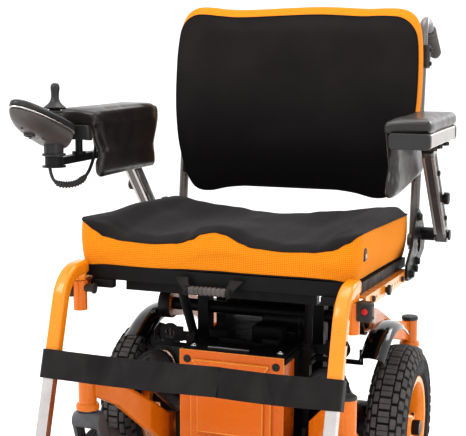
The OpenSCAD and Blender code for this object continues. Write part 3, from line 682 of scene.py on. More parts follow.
# ---------------------------------------------------------------- soft goods
def puff(obj, pressure, cap, frames=20):
    """Fills a closed mesh with Cloth pressure, and keeps each point within cap millimetres."""
    scene = bpy.context.scene
    cloth = obj.modifiers.new("fill", "CLOTH")
    cloth.settings.use_pressure = True
    cloth.settings.uniform_pressure_force = pressure
    cloth.settings.effector_weights.gravity = 0
    cloth.settings.quality = 6
    cloth.point_cache.frame_start, cloth.point_cache.frame_end = 1, frames
    for step in range(1, frames + 1):
        scene.frame_set(step)
    filled = obj.evaluated_get(bpy.context.evaluated_depsgraph_get())
    start = np.array([v.co for v in obj.data.vertices])
    move = np.array([v.co for v in filled.data.vertices]) - start
    length = np.maximum(np.linalg.norm(move, axis=1), 1e-9)
    limit = cap * MM
    move *= (limit * np.tanh(length / limit) / length)[:, None]
    obj.modifiers.remove(cloth)
    scene.frame_set(1)
    obj.data.vertices.foreach_set("co", (start + move).astype(np.float32).ravel())
    obj.data.update()


def set_cloth(obj, coordinates):
    """Keeps each point's place in the cloth's own plane, in millimetres, for the weave."""
    flat = obj.data.attributes.new("cloth", "FLOAT_VECTOR", "POINT")
    flat.data.foreach_set("vector", np.array(coordinates, np.float32).ravel())


def lay_cloth(obj, u, v):
    """Takes the cloth's plane from two of the mesh's own axes."""
    set_cloth(obj, [(getattr(p.co, u) / MM, getattr(p.co, v) / MM, 0) for p in obj.data.vertices])


def panel(source, name, rows, n, coordinates):
    """The faces of a filled form in some of its rows of n points, as one sewn panel of their own."""
    verts = [v.co.copy() for v in source.data.vertices]
    used = sorted({i for row in rows for i in range(row * n, (row + 1) * n)})
    index = {old: new for new, old in enumerate(used)}
    faces = [tuple(index[i] for i in p.vertices) for p in source.data.polygons
             if all(i in index for i in p.vertices)]
    mesh = bpy.data.meshes.new(name)
    mesh.from_pydata([verts[i] for i in used], [], faces)
    obj = bpy.data.objects.new(name, mesh)
    bpy.context.scene.collection.objects.link(obj)
    set_cloth(obj, [coordinates[i] for i in used])
    return obj


class Padded:
    """A closed form of stacked rings, filled by Cloth and then parted into sewn panels."""

    def __init__(self, name, rings, at, pressure, cap):
        self.n, self.rings = len(rings[0]), rings
        self.form = mesh_of(name + "_form", Shape().skin(rings, at), clean=False)
        outward(self.form.data)
        puff(self.form, pressure, cap)

    def part(self, name, first, last, flat, material, body, slot, replaces=(), shell=2.2):
        """The rows first to last as a panel; flat gives (u, v) from a step round a row and its point."""
        coordinates = [(*flat(k, p), 0) for ring in self.rings for k, p in enumerate(ring)]
        obj = panel(self.form, name, range(first, last + 1), self.n, coordinates)
        # close the cap's middle, if this panel has one
        for row in (0, len(self.rings) - 1):
            if first <= row <= last:
                start = (row - first) * self.n
                bm = bmesh.new()
                bm.from_mesh(obj.data)
                bm.verts.ensure_lookup_table()
                ring = [bm.verts[start + i] for i in range(self.n)]
                if not any(len(f.verts) > 4 for f in bm.faces):
                    bm.faces.new(ring)
                bmesh.ops.recalc_face_normals(bm, faces=bm.faces)
                bm.to_mesh(obj.data)
                bm.free()
        finish_mesh(obj, material, body, slot, replaces=replaces, sharp=0, shell=shell, subdiv=1)
        return obj

    def row(self, index):
        """The points of one ring after filling, in millimetres."""
        start = index * self.n
        return [self.form.data.vertices[start + k].co / MM for k in range(self.n)]

    def done(self):
        bpy.data.objects.remove(self.form)


# Seat cushion, in the seat's frame: (place across, height)
SEAT_W, SEAT_D = 592, 468
SEAM_FRONT = [(0, 85), (29, 80), (48, 68), (80, 58), (140, 54), (200, 57), (240, 64), (268, 80), (288, 93)]
SEAM_SIDE = 98
TOP_FRONT = [(0, 93), (35, 89), (70, 72), (140, 62), (205, 66), (250, 90), (288, 100)]
TOP_MID = [(0, 84), (60, 76), (140, 70), (205, 88), (245, 112), (268, 116), (288, 108)]
TOP_REAR = [(0, 80), (60, 84), (105, 93), (150, 99), (210, 106), (250, 114), (272, 117), (288, 108)]


def seat_seam(x, depth):
    front = through(SEAM_FRONT, abs(x))
    rear = 26 * smooth((depth - SEAT_D + 30) / 26) * smooth((272 - abs(x)) / 60)
    return front + (SEAM_SIDE - front) * smooth(depth / 26) - rear


def seat_top(x, depth):
    x, t = abs(x), depth / SEAT_D
    front, mid, rear = through(TOP_FRONT, x), through(TOP_MID, x), through(TOP_REAR, x)
    if t < 0.5:
        return front + (mid - front) * smooth(t / 0.5)
    return mid + (rear - mid) * smooth((t - 0.5) / 0.5)


def seat_cushion():
    outline = spaced(rounded(SEAT_W, SEAT_D, 26, 8), 176, closed=True)
    outline = [Vector((p[0] - 5, p[1] + SEAT_D / 2)) for p in outline]
    centre = Vector((-5, SEAT_D / 2))
    rings = []
    for s in (0.25, 0.5, 0.75, 0.93, 0.985):              # underside
        rings.append([(*(centre + (p - centre) * s), 0) for p in outline])
    band = 12                                             # side band, up to the seam
    for i in range(band + 1):
        t = i / band
        belly = 1 - 0.014 * (1 - t) + 0.010 * math.sin(math.pi * t)
        ring = []
        for p in outline:
            q = centre + (p - centre) * belly
            ring.append((q.x, q.y, 3 + (seat_seam(p.x, p.y) - 3) * t))
        rings.append(ring)
    seam = len(rings) - 1
    steps = 24                                            # top, from the seam to the middle
    for i in range(1, steps):
        s = 1 - (i / steps) ** 1.25
        ring = []
        for p in outline:
            q = centre + (p - centre) * (0.996 * s)
            away = (p - q).length
            rise = 1 - (1 - min(1.0, away / 34)) ** 2.2
            low, high = seat_seam(p.x, p.y), seat_top(q.x, q.y)
            ring.append((q.x, q.y, low + (high - low) * rise))
        rings.append(ring)
    pad = Padded("cushion", rings, SEAT, 3.0, 4.0)
    lengths = run_lengths(outline)
    along = lambda k, p: (lengths[k], p[2])
    over = lambda k, p: (p[0], p[1])
    pad.part("cushion_base", 0, 5, over, MAT["black_fabric"], "seat", "black_fabric")
    pad.part("cushion_band", 5, seam, along, MAT["orange_mesh"], "seat", "orange_mesh", ["cushion"])
    pad.part("cushion_top", seam, len(rings) - 1, over, MAT["black_fabric"], "seat", "black_fabric")
    # sewn seam: a fine cord in the top's own cloth along the join
    line = pad.row(seam)
    cord = Shape().sweep([*line, line[0]], circle(1.5, 8), caps=False)
    obj = mesh_of("cushion_seam", cord)
    lay_cloth(obj, "x", "y")
    finish_mesh(obj, MAT["black_fabric"], "seat", "black_fabric", sharp=0)
    pad.done()


# Back cushion, in the backrest's frame: (place across, height up the back) of its outline
BACK_OUTLINE = [(0, 105), (80, 104), (150, 98), (206, 89), (242, 95), (264, 122), (279, 168), (292, 230),
                (300, 310), (301, 390), (297, 455), (288, 492), (268, 515), (234, 524), (150, 523), (70, 524)]


def back_wave(x):
    """The slack wave along the top edge."""
    return 3.0 * math.sin(x / 62 + 0.6) + 0.012 * -x


def back_cushion():
    half = curve([Vector(p) for p in BACK_OUTLINE] + [Vector((0, 524))], 6)
    loop = half + [Vector((-p.x, p.y)) for p in reversed(half[1:-1])]
    outline = [Vector((p.x, p.y)) for p in spaced([Vector((p.x, p.y, 0)) for p in loop], 184, closed=True)]
    centre = Vector((0, 312))
    top = lambda q: smooth((q.y - 440) / 70) * back_wave(q.x)

    def ring(inset, depth):
        """The outline drawn in by inset, depth in front of the canes; its top slopes down to the front."""
        out = []
        slope = 11 - 20 * smooth((depth - 34) / 30)
        for p in outline:
            q = centre + (p - centre) * (1 - inset / 300)
            recede = 20 * smooth((230 - q.y) / 150) * smooth(depth / 60)
            tuck = 0.28 * max(0.0, 63 - depth) * smooth((220 - p.y) / 90) * smooth((90 - inset) / 60)
            rise = slope * smooth((q.y - 430) / 80)
            out.append((q.x, -(depth - recede), q.y + top(q) + rise + tuck))
        return out
    rings = []
    for inset in (250, 180, 110, 50, 16):
        rings.append(ring(inset, 22 if inset > 20 else 19))
    gusset = ((5, 15), (0, 21), (-3, 30), (-3, 40), (-2, 49), (0, 57), (3, 63))
    rings += [ring(inset, depth) for inset, depth in gusset]
    seam = len(rings) - 1
    for inset in (6, 11, 18, 27, 39, 54, 72, 92, 114, 138, 162, 188, 215, 240):
        bulge = 64 + 10 * smooth(inset / 60) + 1.5 * smooth(inset / 200)
        rings.append(ring(inset, bulge))
    pad = Padded("back", rings, BACK, 3.0, 5.0)
    lengths = run_lengths(outline)
    along = lambda k, p: (lengths[k], -p[1])
    over = lambda k, p: (p[0], p[2])
    pad.part("back_cushion_rear", 0, 5, over, MAT["back_fabric"], "back", "black_fabric")
    pad.part("back_cushion_gusset", 5, seam, along, MAT["orange_mesh"], "back", "orange_mesh")
    pad.part("back_cushion_front", seam, len(rings) - 1, over, MAT["back_fabric"], "back", "black_fabric",
             ["back_cushion"])
    for name, index, r in (("back_seam_front", seam, 1.5), ("back_seam_rear", 5, 1.8)):
        line = pad.row(index)
        obj = mesh_of(name, Shape().sweep([*line, line[0]], circle(r, 8), caps=False))
        lay_cloth(obj, "x", "z")
        finish_mesh(obj, MAT["back_fabric"], "back", "black_fabric", sharp=0)
    pad.done()


PAD_INNER, PAD_SOFT_TO = 304.4, 316.0   # the pads' innermost reach, and where the squeeze towards it starts


def arm_pads():
    """Vinyl pads: the top and its hanging inner panel, merged into one form and filled."""
    def section(y, pinch):
        """The top's cross-section at y, as (x, z)."""
        w, h = 101 - 2 * pinch, 27 - pinch
        crown = [(x, z + (3.4 * (1 - (x / (w / 2)) ** 2) if z > 0 else 0)) for x, z in rounded(w, h, 10)]
        return [(350.5 + x, y, 846.0 + z) for x, z in crown]
    top = Shape()
    ys = [-232, -229, -223, -200, -150, -90, -20, 50, 76, 84, 87]
    pinches = [8, 4, 1.5, 0, 0, 0, 0, 0, 1.5, 4, 8]
    top.skin([section(y, p) for y, p in zip(ys, pinches)])
    # inner panel: waisted front and rear edges, a thin rim and full middle
    levels = [(720, -204, 74), (727, -209, 79), (750, -209, 82), (772, -199, 81), (790, -203, 86),
              (812, -217, 97), (835, -227, 104), (850, -229, 104), (859, -226, 100)]
    rings = []
    for z, front, rear in levels:
        thick = 27 * (0.55 if z in (720, 859) else 1.0) - 5 * math.exp(-((z - 773) / 9) ** 2)
        mid, span = (front + rear) / 2, rear - front
        rings.append([(316 + x, mid + y, z) for x, y in rounded(thick, span, thick * 0.46, 5)])
    top.skin(rings)
    obj = mesh_of("arm_pad_form", top)
    remesh = obj.modifiers.new("merge", "REMESH")
    remesh.mode, remesh.voxel_size = "VOXEL", 4.5 * MM
    ease = obj.modifiers.new("ease", "SMOOTH")
    ease.factor, ease.iterations = 0.5, 5
    merged = bpy.data.meshes.new_from_object(obj.evaluated_get(bpy.context.evaluated_depsgraph_get()))
    obj.modifiers.clear()
    obj.data = merged
    puff(obj, 3.0, 3.5)
    # pulled creases at the waist and the front inner corner
    for v in merged.vertices:
        p = v.co / MM
        pull = 0.0
        for y, z, reach, deep in ((-204, 776, 34, 3.6), (80, 780, 30, 3.2), (-222, 838, 12, 3.2)):
            d = math.hypot(p.y - y, p.z - z)
            fan = 0.6 + 0.4 * math.cos(math.atan2(p.z - z, p.y - y) * 7)
            pull += deep * math.exp(-(d / reach) ** 2) * fan
        if p.x < 345:
            v.co.x += (0.35 if p.x > 316 else -0.35) * -pull * MM
    # squeezed on the inner side, so that a flipped pad passes beside the backrest tube
    inner = min(v.co.x for v in merged.vertices) / MM
    squeeze = (PAD_SOFT_TO - PAD_INNER) / (PAD_SOFT_TO - inner)
    for v in merged.vertices:
        if v.co.x < PAD_SOFT_TO * MM:
            v.co.x = (PAD_SOFT_TO - (PAD_SOFT_TO - v.co.x / MM) * squeeze) * MM
    # the controller side's top is fuller; the other side's inner panel sags at its front corner
    flipped = merged.copy()
    for v in flipped.vertices:
        v.co.x = -v.co.x
        v.co.z += 8 * smooth((v.co.z / MM - 838) / 20) * MM
    for v in merged.vertices:
        if v.co.x < 336 * MM:
            v.co.z -= 17 * smooth((806 - v.co.z / MM) / 70) * smooth((60 - v.co.y / MM) / 240) * MM
    flipped.flip_normals()
    right = bpy.data.objects.new("arm_pad_cover_r", flipped)
    bpy.context.scene.collection.objects.link(right)
    obj.name = "arm_pad_cover_l"
    for side, cover in (("l", obj), ("r", right)):
        finish_mesh(cover, MAT["black_vinyl"], f"arm_{side}", "black_vinyl",
                    replaces=[f"arm_pad_{side}"], sharp=0, subdiv=1)


def strap_wave(u, z, twist):
    """Slack waves along the calf strap, with a few sharper puckers."""
    wave = 1.5 * math.sin(u / 19 + z / 13 + twist)
    for spot, lean, reach, height in ((96, 0.35, 10, 4.6), (131, -0.3, 9, -4.0), (182, 0.45, 12, 4.2),
                                      (232, -0.4, 10, 3.6), (292, 0.3, 12, -3.4)):
        wave += height * math.exp(-((u - spot - lean * (z - 129)) / reach) ** 2)
    return wave


def strap_half(name, side, reach, twist):
    """Half of the calf strap: a loop round the hanger and a band across to x = reach."""
    w, t, low, high = TUBE, 3.0, 157, 101
    r = 7.0
    outer = []                                            # loop round the hanger, inner then outer line
    for sx, sy, a in ((1, 1, 0), (-1, 1, 90), (-1, -1, 180), (1, -1, 270)):
        for k in range(6):
            turn = math.radians(a + 90 * k / 5)
            outer.append((sx * (w / 2 - r + 1.2), sy * (w / 2 - r + 1.2), turn))
    levels = [high + (low - high) * i / 10 for i in range(11)]

    def wall(points, normals, closed, name):
        """A strap wall of thickness t along a line of (x, y) points, woven along its length."""
        shape, flat = Shape(), []
        lengths = run_lengths([Vector(p) for p in points])
        for u, p, n in zip(lengths, points, normals):
            ring = [(p[0], p[1], z) for z in levels]
            ring += [(p[0] + n[0] * t, p[1] + n[1] * t, z) for z in reversed(levels)]
            # slack waves and the slight sag of the band
            sag = 0.0 if closed else 2.2 * math.sin(math.pi * min(1, u / max(lengths[-1], 1)))
            for x, y, z in ring:
                wave = 0.0 if closed else strap_wave(u, z, twist) * smooth(u / 60)
                shape.points.append(LEG @ Vector((x, y + wave, z + sag)))
                flat.append((u, z, 0))
        count, around = len(points), 2 * len(levels)
        for i in range(count if closed else count - 1):
            low, high = i * around, (i + 1) % count * around
            for k in range(around):
                after = (k + 1) % around
                shape.faces.append((low + k, low + after, high + after, high + k))
        if not closed:
            shape.faces.append(tuple(range(around))[::-1])
            shape.faces.append(tuple(range((count - 1) * around, count * around)))
        if side == "r":
            shape = shape.mirrored()
        obj = mesh_of(name, shape, clean=False)
        outward(obj.data)
        set_cloth(obj, flat)
        return obj
    loop = [(x + r * math.cos(a), y + r * math.sin(a)) for x, y, a in outer]
    around = [(math.cos(a), math.sin(a)) for x, y, a in outer]
    # the right half's end lies over the left half's
    over = 3.8 if side == "r" else 0.0
    end = reach - HANGER_X
    band = [(x, w / 2 + 1.4 + over * smooth((130 - (x - end)) / 70)) for x in np.linspace(w / 2 - 4, end, 90)]
    ringed = wall(loop, around, True, name + "_loop")
    across = wall(band, [(0, 1)] * len(band), False, name)
    for obj, nodes_for in ((across, [f"calf_strap_{side}"]), (ringed, [])):
        finish_mesh(obj, MAT["webbing"], f"legrest_{side}", "webbing", replaces=nodes_for, sharp=50,
                    bevel=0.6)


seat_cushion()
back_cushion()
arm_pads()
strap_half("calf_strap_band_l", "l", 60.0, 0.0)
strap_half("calf_strap_band_r", "r", -70.5, 1.3)


# ---------------------------------------------------------------- wheels
def block(shape, at, angles, across, base, crown, edge=1.3):
    """A tread block between two angles and two places across, from the radius base(x) up to crown(x),
    its edges broken by edge."""
    (a0, a1), (x0, x1) = angles, across
    ma, mx = (a0 + a1) / 2, (x0 + x1) / 2
    spots = [(a0, x0), (a0, mx), (a0, x1), (ma, x1), (a1, x1), (a1, mx), (a1, x0), (ma, x0)]

    def ring(inset_a, inset_x, height, drop=0.0):
        """The block's outline drawn in, at a height over the width, less drop."""
        out = []
        for a, x in spots:
            a += inset_a * (1 if a < ma else -1 if a > ma else 0)
            x += inset_x * (1 if x < mx else -1 if x > mx else 0)
            r = height(x) - drop
            out.append((r * math.cos(a), r * math.sin(a), x))
        return out
    shape.skin([ring(-0.004, -0.8, base), ring(0, 0, crown, edge), ring(edge / WHEEL_R, edge, crown)], at)


SPOKE_START = math.radians(8)           # turn of a drive rim's first spoke


def drive_wheels():
    at = place(WHEEL) @ rot(90, "Y")
    crown = lambda x: WHEEL_R - 3.2 * (abs(x) / 26) ** 2.4 if abs(x) < 30 else 172.6 - (abs(x) - 30) * 1.35
    base = lambda x: crown(x) - 7.5
    wall = lambda x: 163.0 - (abs(x) - 37.5) * 1.5
    carcass = [(107, -31), (113, -34), (116, -38.5), (122, -40.5), (134, -41.6), (148, -41.4), (156, -39.5),
               (160, -37), (163.5, -32), (167, -24), (169.6, -12), (170.4, 0)]
    carcass += [(r, -z) for r, z in carcass[-2::-1]]
    body = Shape().lathe(carcass, at, 120, caps=False)
    # bead ring and moulded rings on the sidewall
    for side in (-1, 1):
        for ring in (((119, 39.2), (120, 41.2), (122, 41.4), (123, 40.2)),
                     ((140, 41.0), (141, 42.0), (142.6, 42.0), (143.6, 40.9))):
            body.lathe([(r, side * z) for r, z in ring], at, 96)
    pair("drive_tyre_carcass", body, MAT["tyre_groove"], "wheel", "tyre_rubber")
    tread, count = Shape(), 40
    step = 2 * math.pi / count
    for i in range(count):
        a = i * step
        # wide centre blocks, each with a slit, between two offset rows and the shoulder lugs
        block(tread, at, (a, a + step * 0.40), (-11.5, 11.5), base, crown)
        block(tread, at, (a + step * 0.43, a + step * 0.82), (-11.5, 11.5), base, crown)
        for side in (-1, 1):
            b = a + step * 0.5
            for x0, x1, part, turn in ((14.5, 25.5, 0.78, 0.0), (28, 36.5, 0.72, 0.5)):
                c = b + turn * step
                across = (x0, x1) if side > 0 else (-x1, -x0)
                block(tread, at, (c, c + step * part), across, base, crown, 1.6)
            c = b + 0.06 * step
            across = (37.5, 41.8) if side > 0 else (-41.8, -37.5)
            block(tread, at, (c, c + step * 0.62), across, lambda x: 148, wall, 1.2)
    pair("drive_tyre_tread", tread, MAT["tyre_rubber"], "wheel", "tyre_rubber",
         replaces=["drive_tyre"], sharp=25)
    rim = Shape()
    # barrel with rolled flanges, a deep well and a stepped outer dish
    rim.lathe([(97, -36), (101, -37.5), (110, -37.5), (113, -36), (113.4, -33), (110, -31.5), (104, -31),
               (103, -24), (103, 24), (104, 31), (110, 31.5), (113.4, 33), (113, 36), (110, 37.5),
               (103, 37.5), (99, 36), (97.5, 31), (96, 28), (95, 20), (93, 8), (92, -20), (95, -30),
               (97, -36)], at, 96)
    # hub barrel with a stepped boss
    rim.lathe([(12.3, -24), (27, -24), (29, -22), (29, 20), (27, 22), (25, 29), (23, 30.5), (12.3, 30.5),
               (12.3, -24)], at, 48)
    for i in range(5):
        turn = Matrix.Rotation(2 * math.pi * i / 5 + SPOKE_START, 4, "Z")
        rings = []
        for r, half, low, high in ((24, 14, -8, 16), (40, 12, -6, 14), (62, 11, -4, 12), (80, 13, -4, 13),
                                   (90, 18, -6, 15), (95, 23, -8, 17)):
            corners = ((-half, low), (half, low), (half, high - 3), (half - 3, high),
                       (-half + 3, high), (-half, high - 3))
            rings.append([(r, x, z) for x, z in corners])
        rim.skin(rings, at @ turn)
    pair("drive_rim_cast", rim, MAT["lit_orange_paint"], "wheel", "orange_paint", replaces=["drive_rim"],
         sharp=38, bevel=1.0)
    bolts = Shape()
    for i in range(5):
        a = 2 * math.pi * i / 5 + SPOKE_START
        socket_bolt(bolts, at @ shift(*polar(34, a, 14)), 5.2, 5)
        socket_bolt(bolts, at @ shift(*polar(86, a + 0.18, 12.5)), 4.2, 4)
    bolts.lathe([(0, 26), (13, 26), (15.5, 28), (16, 31), (15.5, 40), (14, 42.5), (8, 43.4), (0, 43.4)],
                at, 32)
    for i in range(6):
        a = math.pi * i / 3
        bolts.rod(at @ polar(9, a, 42), at @ polar(9, a, 44.4), 1.3, 10, 0.3)
    pair("wheel_hub_trim", bolts, MAT["black_plastic"], "wheel", "black_plastic")


def socket_bolt(shape, at, r, h):
    """A cap screw with a hexagon socket, standing on the frame's origin."""
    shape.lathe([(r, -1), (r, h - 0.7), (r - 0.7, h), (r * 0.56, h), (r * 0.5, h - 0.5),
                 (r * 0.5, h * 0.45), (0, h * 0.45)], at, 12)
    return shape


def casters():
    for name, (x, y) in (("front", FRONT_BARREL), ("rear", REAR_BARREL)):
        at = place((x, y + TRAIL, CASTER_R)) @ rot(90, "Y")
        half = [(100, 3), (97.6, 3.6), (97.6, 5), (99.4, 5.6), (99.4, 9), (97.6, 14), (94, 18.6),
                (88, 21.2), (80, 21.4), (74, 20), (69, 17)]
        tyre = [(r, -z) for r, z in reversed(half)] + half
        pair(f"{name}_caster_tyre", Shape().lathe(tyre, at, 80), MAT["caster_rubber"], f"{name}_caster",
             "caster_rubber", replaces=[f"{name}_caster"], sharp=30)
        hub = Shape().lathe([(64, -18), (69.5, -18), (71, -16), (71, 16), (69.5, 18), (64, 18), (61, 14),
                             (60, 0), (61, -14), (64, -18)], at, 72)
        hub.lathe([(6.2, -22.5), (14, -22.5), (16.5, -20), (17, 0), (16.5, 20), (14, 22.5), (6.2, 22.5),
                   (6.2, -22.5)], at, 40)
        for i in range(6):
            turn = at @ Matrix.Rotation(math.pi * i / 3, 4, "Z")
            rings = [[(r, -w, -d), (r, w, -d), (r, w, d), (r, -w, d)] for r, w, d in
                     ((14, 7, 15), (26, 5.5, 12), (44, 5.5, 10), (56, 8, 12), (62, 11, 14))]
            hub.skin(rings, turn)
        pair(f"{name}_caster_hub", hub, MAT["fork_grey"], f"{name}_caster", "fork_grey", sharp=38, bevel=0.8)
        trim = Shape()
        for side in (-1, 1):
            end = (x + side * 34, y + TRAIL, CASTER_R)
            base = (x + side * 30, y + TRAIL, CASTER_R)
            trim.rod(base, end, 8.5, 6, 0.8)
        trim.lathe([(6, 19), (12, 20), (12, 22.4), (6, 22.4)], at, 24)
        pair(f"{name}_axle_nuts", trim, MAT["bolt_black"], f"{name}_fork", "fork_grey", sharp=30)


# ---------------------------------------------------------------- controller
def egg(front, rear, width, nose=0.8, n=56):
    """A teardrop outline round the joystick: front and rear reach, greatest width."""
    out = []
    for k in range(n):
        t = 2 * math.pi * k / n
        y = math.cos(t)
        reach = rear if y > 0 else front
        bulge = abs(math.sin(t)) ** 0.82
        taper = (1 - 0.16 * max(0, y)) * nose ** max(0, -y * 0.6)
        out.append((math.copysign(width * bulge, math.sin(t)) * taper, y * reach))
    return out


def controller():
    def stacked(*rows):
        """Stacked egg outlines: front and rear reach, width, height and slope of each."""
        rings = [[(x, y, z + slope * y) for x, y in egg(front, rear, width)]
                 for front, rear, width, z, slope in rows]
        return Shape().skin(rings, CONTROLLER)
    shell = stacked((70, 16, 12, -55, 0.02), (98, 28, 22, -54, 0.02), (122, 36, 30, -51, 0.01),
                    (143, 40, 37, -46, 0), (156, 42, 41.5, -38, 0), (163, 43, 44, -30, 0),
                    (166, 43.4, 45.5, -22, 0), (165, 42.6, 44.5, -19.5, 0))
    piece("controller_shell", shell, MAT["controller_under"], "controller", "black_plastic",
          replaces=["controller_body"], sharp=60, subdiv=1)
    strip = stacked((166, 43, 45.6, -20.8, 0), (167.8, 43.8, 46.8, -20, 0), (167.8, 43.8, 46.8, -17.8, 0),
                    (166, 43, 45.6, -17, 0))
    piece("controller_rim", strip, MAT["rim_silver"], "controller", "arm_aluminium", sharp=60)
    # deck, with raised collars round the joystick and the two buttons
    deck = stacked((165, 42.5, 45.2, -18, 0), (167, 43.2, 46.4, -15.5, 0), (167, 43.2, 46.4, -9, 0),
                   (165.5, 42.4, 45.3, -4.6, 0), (160, 39, 41.5, -1.8, 0), (148, 34, 34, -0.5, 0),
                   (110, 26, 22, -0.1, 0), (60, 14, 10, 0, 0))
    piece("controller_deck", deck, MAT["controller_dark"], "controller", "black_plastic", sharp=60, subdiv=1)
    collar = Shape().lathe([(27, -2), (26.5, 0.6), (25, 2.0), (23.4, 2.4), (22.6, 1.2), (22, -4)],
                           CONTROLLER, 48)
    for x in (-16, 16):
        at = CONTROLLER @ shift(x, -62, 0)
        collar.lathe([(11, -1.6), (10.8, 0.4), (10, 1.0), (9.0, 0.6), (8.6, -2)], at, 32)
    piece("controller_collars", collar, MAT["controller_dark"], "controller", "black_plastic", sharp=50)
    # grey gauge window ahead of the joystick, and the speed keys
    panel_at = CONTROLLER @ shift(0, -92, -0.4)
    window = Shape().slab(rounded(34, 13, 4, 5), 0, 1.6, panel_at, 0.7)
    piece("controller_window", window, MAT["rim_silver"], "controller", "button_plastic", sharp=40)
    keys = Shape()
    for x in (-21, 21):
        keys.slab(rounded(12, 9, 3, 4), 0, 2.4, CONTROLLER @ shift(x, -84, -0.7), 0.8)
    keys.slab(rounded(22, 8, 3, 4), 0, 2.2, CONTROLLER @ shift(0, -112, -0.6), 0.8)
    piece("controller_keys", keys, MAT["button_grey"], "controller", "button_plastic", sharp=40)
    # underside: charger socket with its ring and pins, a screw, and two orange reflectors that glow with
    # emission as painted light
    under = CONTROLLER @ shift(0, -92, -53) @ rot(180 + 2, "X")
    socket = Shape().lathe([(0, 0.5), (6.6, 0.5), (7, 1), (7, 5.4), (8.4, 6.4), (10.6, 6.4), (11.6, 5.4),
                            (12, 0), (12, -4)], under, 40)
    for a in (90, 210, 330):
        pin = under @ shift(*polar(3.6, math.radians(a), 0.5))
        socket.lathe([(0, 3), (1.2, 3), (1.2, 0)], pin, 10)
    piece("charger_socket", socket, MAT["black_plastic"], "controller", "black_plastic", sharp=40)
    screws = Shape()
    for x, y, z in ((0, -124, -50.5), (15, -62, -54.5), (-15, -62, -54.5)):
        at = CONTROLLER @ shift(x, y, z) @ rot(180 + 18, "X")
        socket_bolt(screws, at, 2.6, 2.2)
    piece("controller_screws", screws, MAT["bolt_black"], "controller", "black_plastic", sharp=40)
    dots = Shape()
    for x, y, z in ((-27, 4, -44), (27, 4, -44)):
        at = CONTROLLER @ shift(x, y, z) @ rot(180, "X")
        dots.lathe([(0, 3.2), (2.6, 2.6), (3.8, 1.0), (4.0, -2)], at, 20)
    piece("controller_reflectors", dots, MAT["orange_dot"], "controller", "button_plastic", sharp=0)
    # swing barrel: a ribbed post under the controller, hooded at the top
    post = Shape().lathe([(8, 776), (24, 776), (24.6, 777), (24.6, 779.5), (24, 780.5), (19.5, 781),
                          (19, 784), (19, 806), (17, 812), (0, 812)], place((-372, -300, 0)), 48)
    for i in range(10):
        a = math.radians(36 * i)
        p = Vector((-372 + 19.2 * math.cos(a), -300 + 19.2 * math.sin(a), 0))
        post.rod(p + Vector((0, 0, 782)), p + Vector((0, 0, 806)), 1.3, 8, 0.4)
    piece("swing_post", post, MAT["controller_dark"], "controller", "black_plastic", sharp=35)


def joystick():
    foot = place((-380, -279, 846), -3)
    ring = Shape().lathe([(12, -6), (16, -6), (16.4, -4), (16.4, -1.4), (15.6, -0.4), (12.6, -0.4),
                          (12, -1.4), (12, -6)], CONTROLLER, 40)
    piece("gimbal_ring", ring, MAT["black_plastic"], "gimbal", "black_plastic", replaces=["joystick_gimbal"],
          sharp=40)
    folds = [(0, -3), (12.5, -3)]
    for i in range(4):
        z = -1 + i * 6.3
        folds += [(12.8, z), (17.2, z + 1.6), (17.8, z + 2.6), (17.0, z + 3.6), (12.6, z + 5.0)]
    folds += [(11, 25), (0, 25)]
    piece("joystick_bellows", Shape().lathe(folds, foot, 40), MAT["grip_rubber"], "stick", "grip_rubber",
          sharp=0)
    knob = [(0, 24), (17, 24.6), (23, 26.4), (24, 28.2), (23.2, 30), (19, 33), (14.5, 36.6), (11, 41),
            (9, 46), (8.2, 52), (8.4, 58), (9.4, 65), (9.8, 70), (9.2, 75), (7.2, 78.4), (4, 79.8), (0, 80)]
    piece("joystick_knob", Shape().lathe(knob, foot, 48), MAT["controller_dark"], "stick", "black_plastic",
          replaces=["joystick_stick"], sharp=50, subdiv=1)
    for name, x, paint_name in (("power", -16, "button_green"), ("horn", 16, "button_grey")):
        at = CONTROLLER @ shift(x, -62, -3)
        cap = [(0, 4.2), (4, 4.3), (6.6, 4.9), (7.6, 4.4), (7.9, 3.4), (7.9, 0), (0, 0)]
        piece(f"{name}_cap", Shape().lathe(cap, at, 32), MAT[paint_name], f"{name}_key", "button_plastic",
              replaces=[f"button_{name}"], sharp=40)


# ---------------------------------------------------------------- grips, handles and trim
CANE_X, CANE_TOP = 289, 470            # a cane's place across and the height where its bend starts
HANDLE_R, HANDLE_TURN = 38, math.radians(117)


def handle_line(start, length, n):
    """Points along a push handle's straight end, from its bend."""
    out = []
    for k in range(n + 1):
        s = start + length * k / n
        # the bend turns backwards from straight up, then the handle runs on along its tangent
        y = HANDLE_R - HANDLE_R * math.cos(HANDLE_TURN) + s * math.sin(HANDLE_TURN)
        z = CANE_TOP + HANDLE_R * math.sin(HANDLE_TURN) + s * math.cos(HANDLE_TURN)
        out.append(BACK @ Vector((CANE_X, y, z)))
    return out


def grips():
    ribs, lobes = 150, 12
    line = handle_line(24, 98, ribs)
    scale = []
    for i in range(ribs + 1):
        t = i / ribs
        flare = 0.9 * math.exp(-(t / 0.05) ** 2) - 3.2 * math.exp(-((1 - t) / 0.02) ** 2)
        scale.append(12.8 + 2.3 * abs(math.sin(math.pi * lobes * t)) ** 0.6 + flare)
    grip = Shape().sweep(line, circle(1.0, 28), scale=scale).both()
    piece("push_grip_ribs", grip, MAT["grip_rubber"], "back", "grip_rubber", replaces=["push_grips"],
          sharp=0)


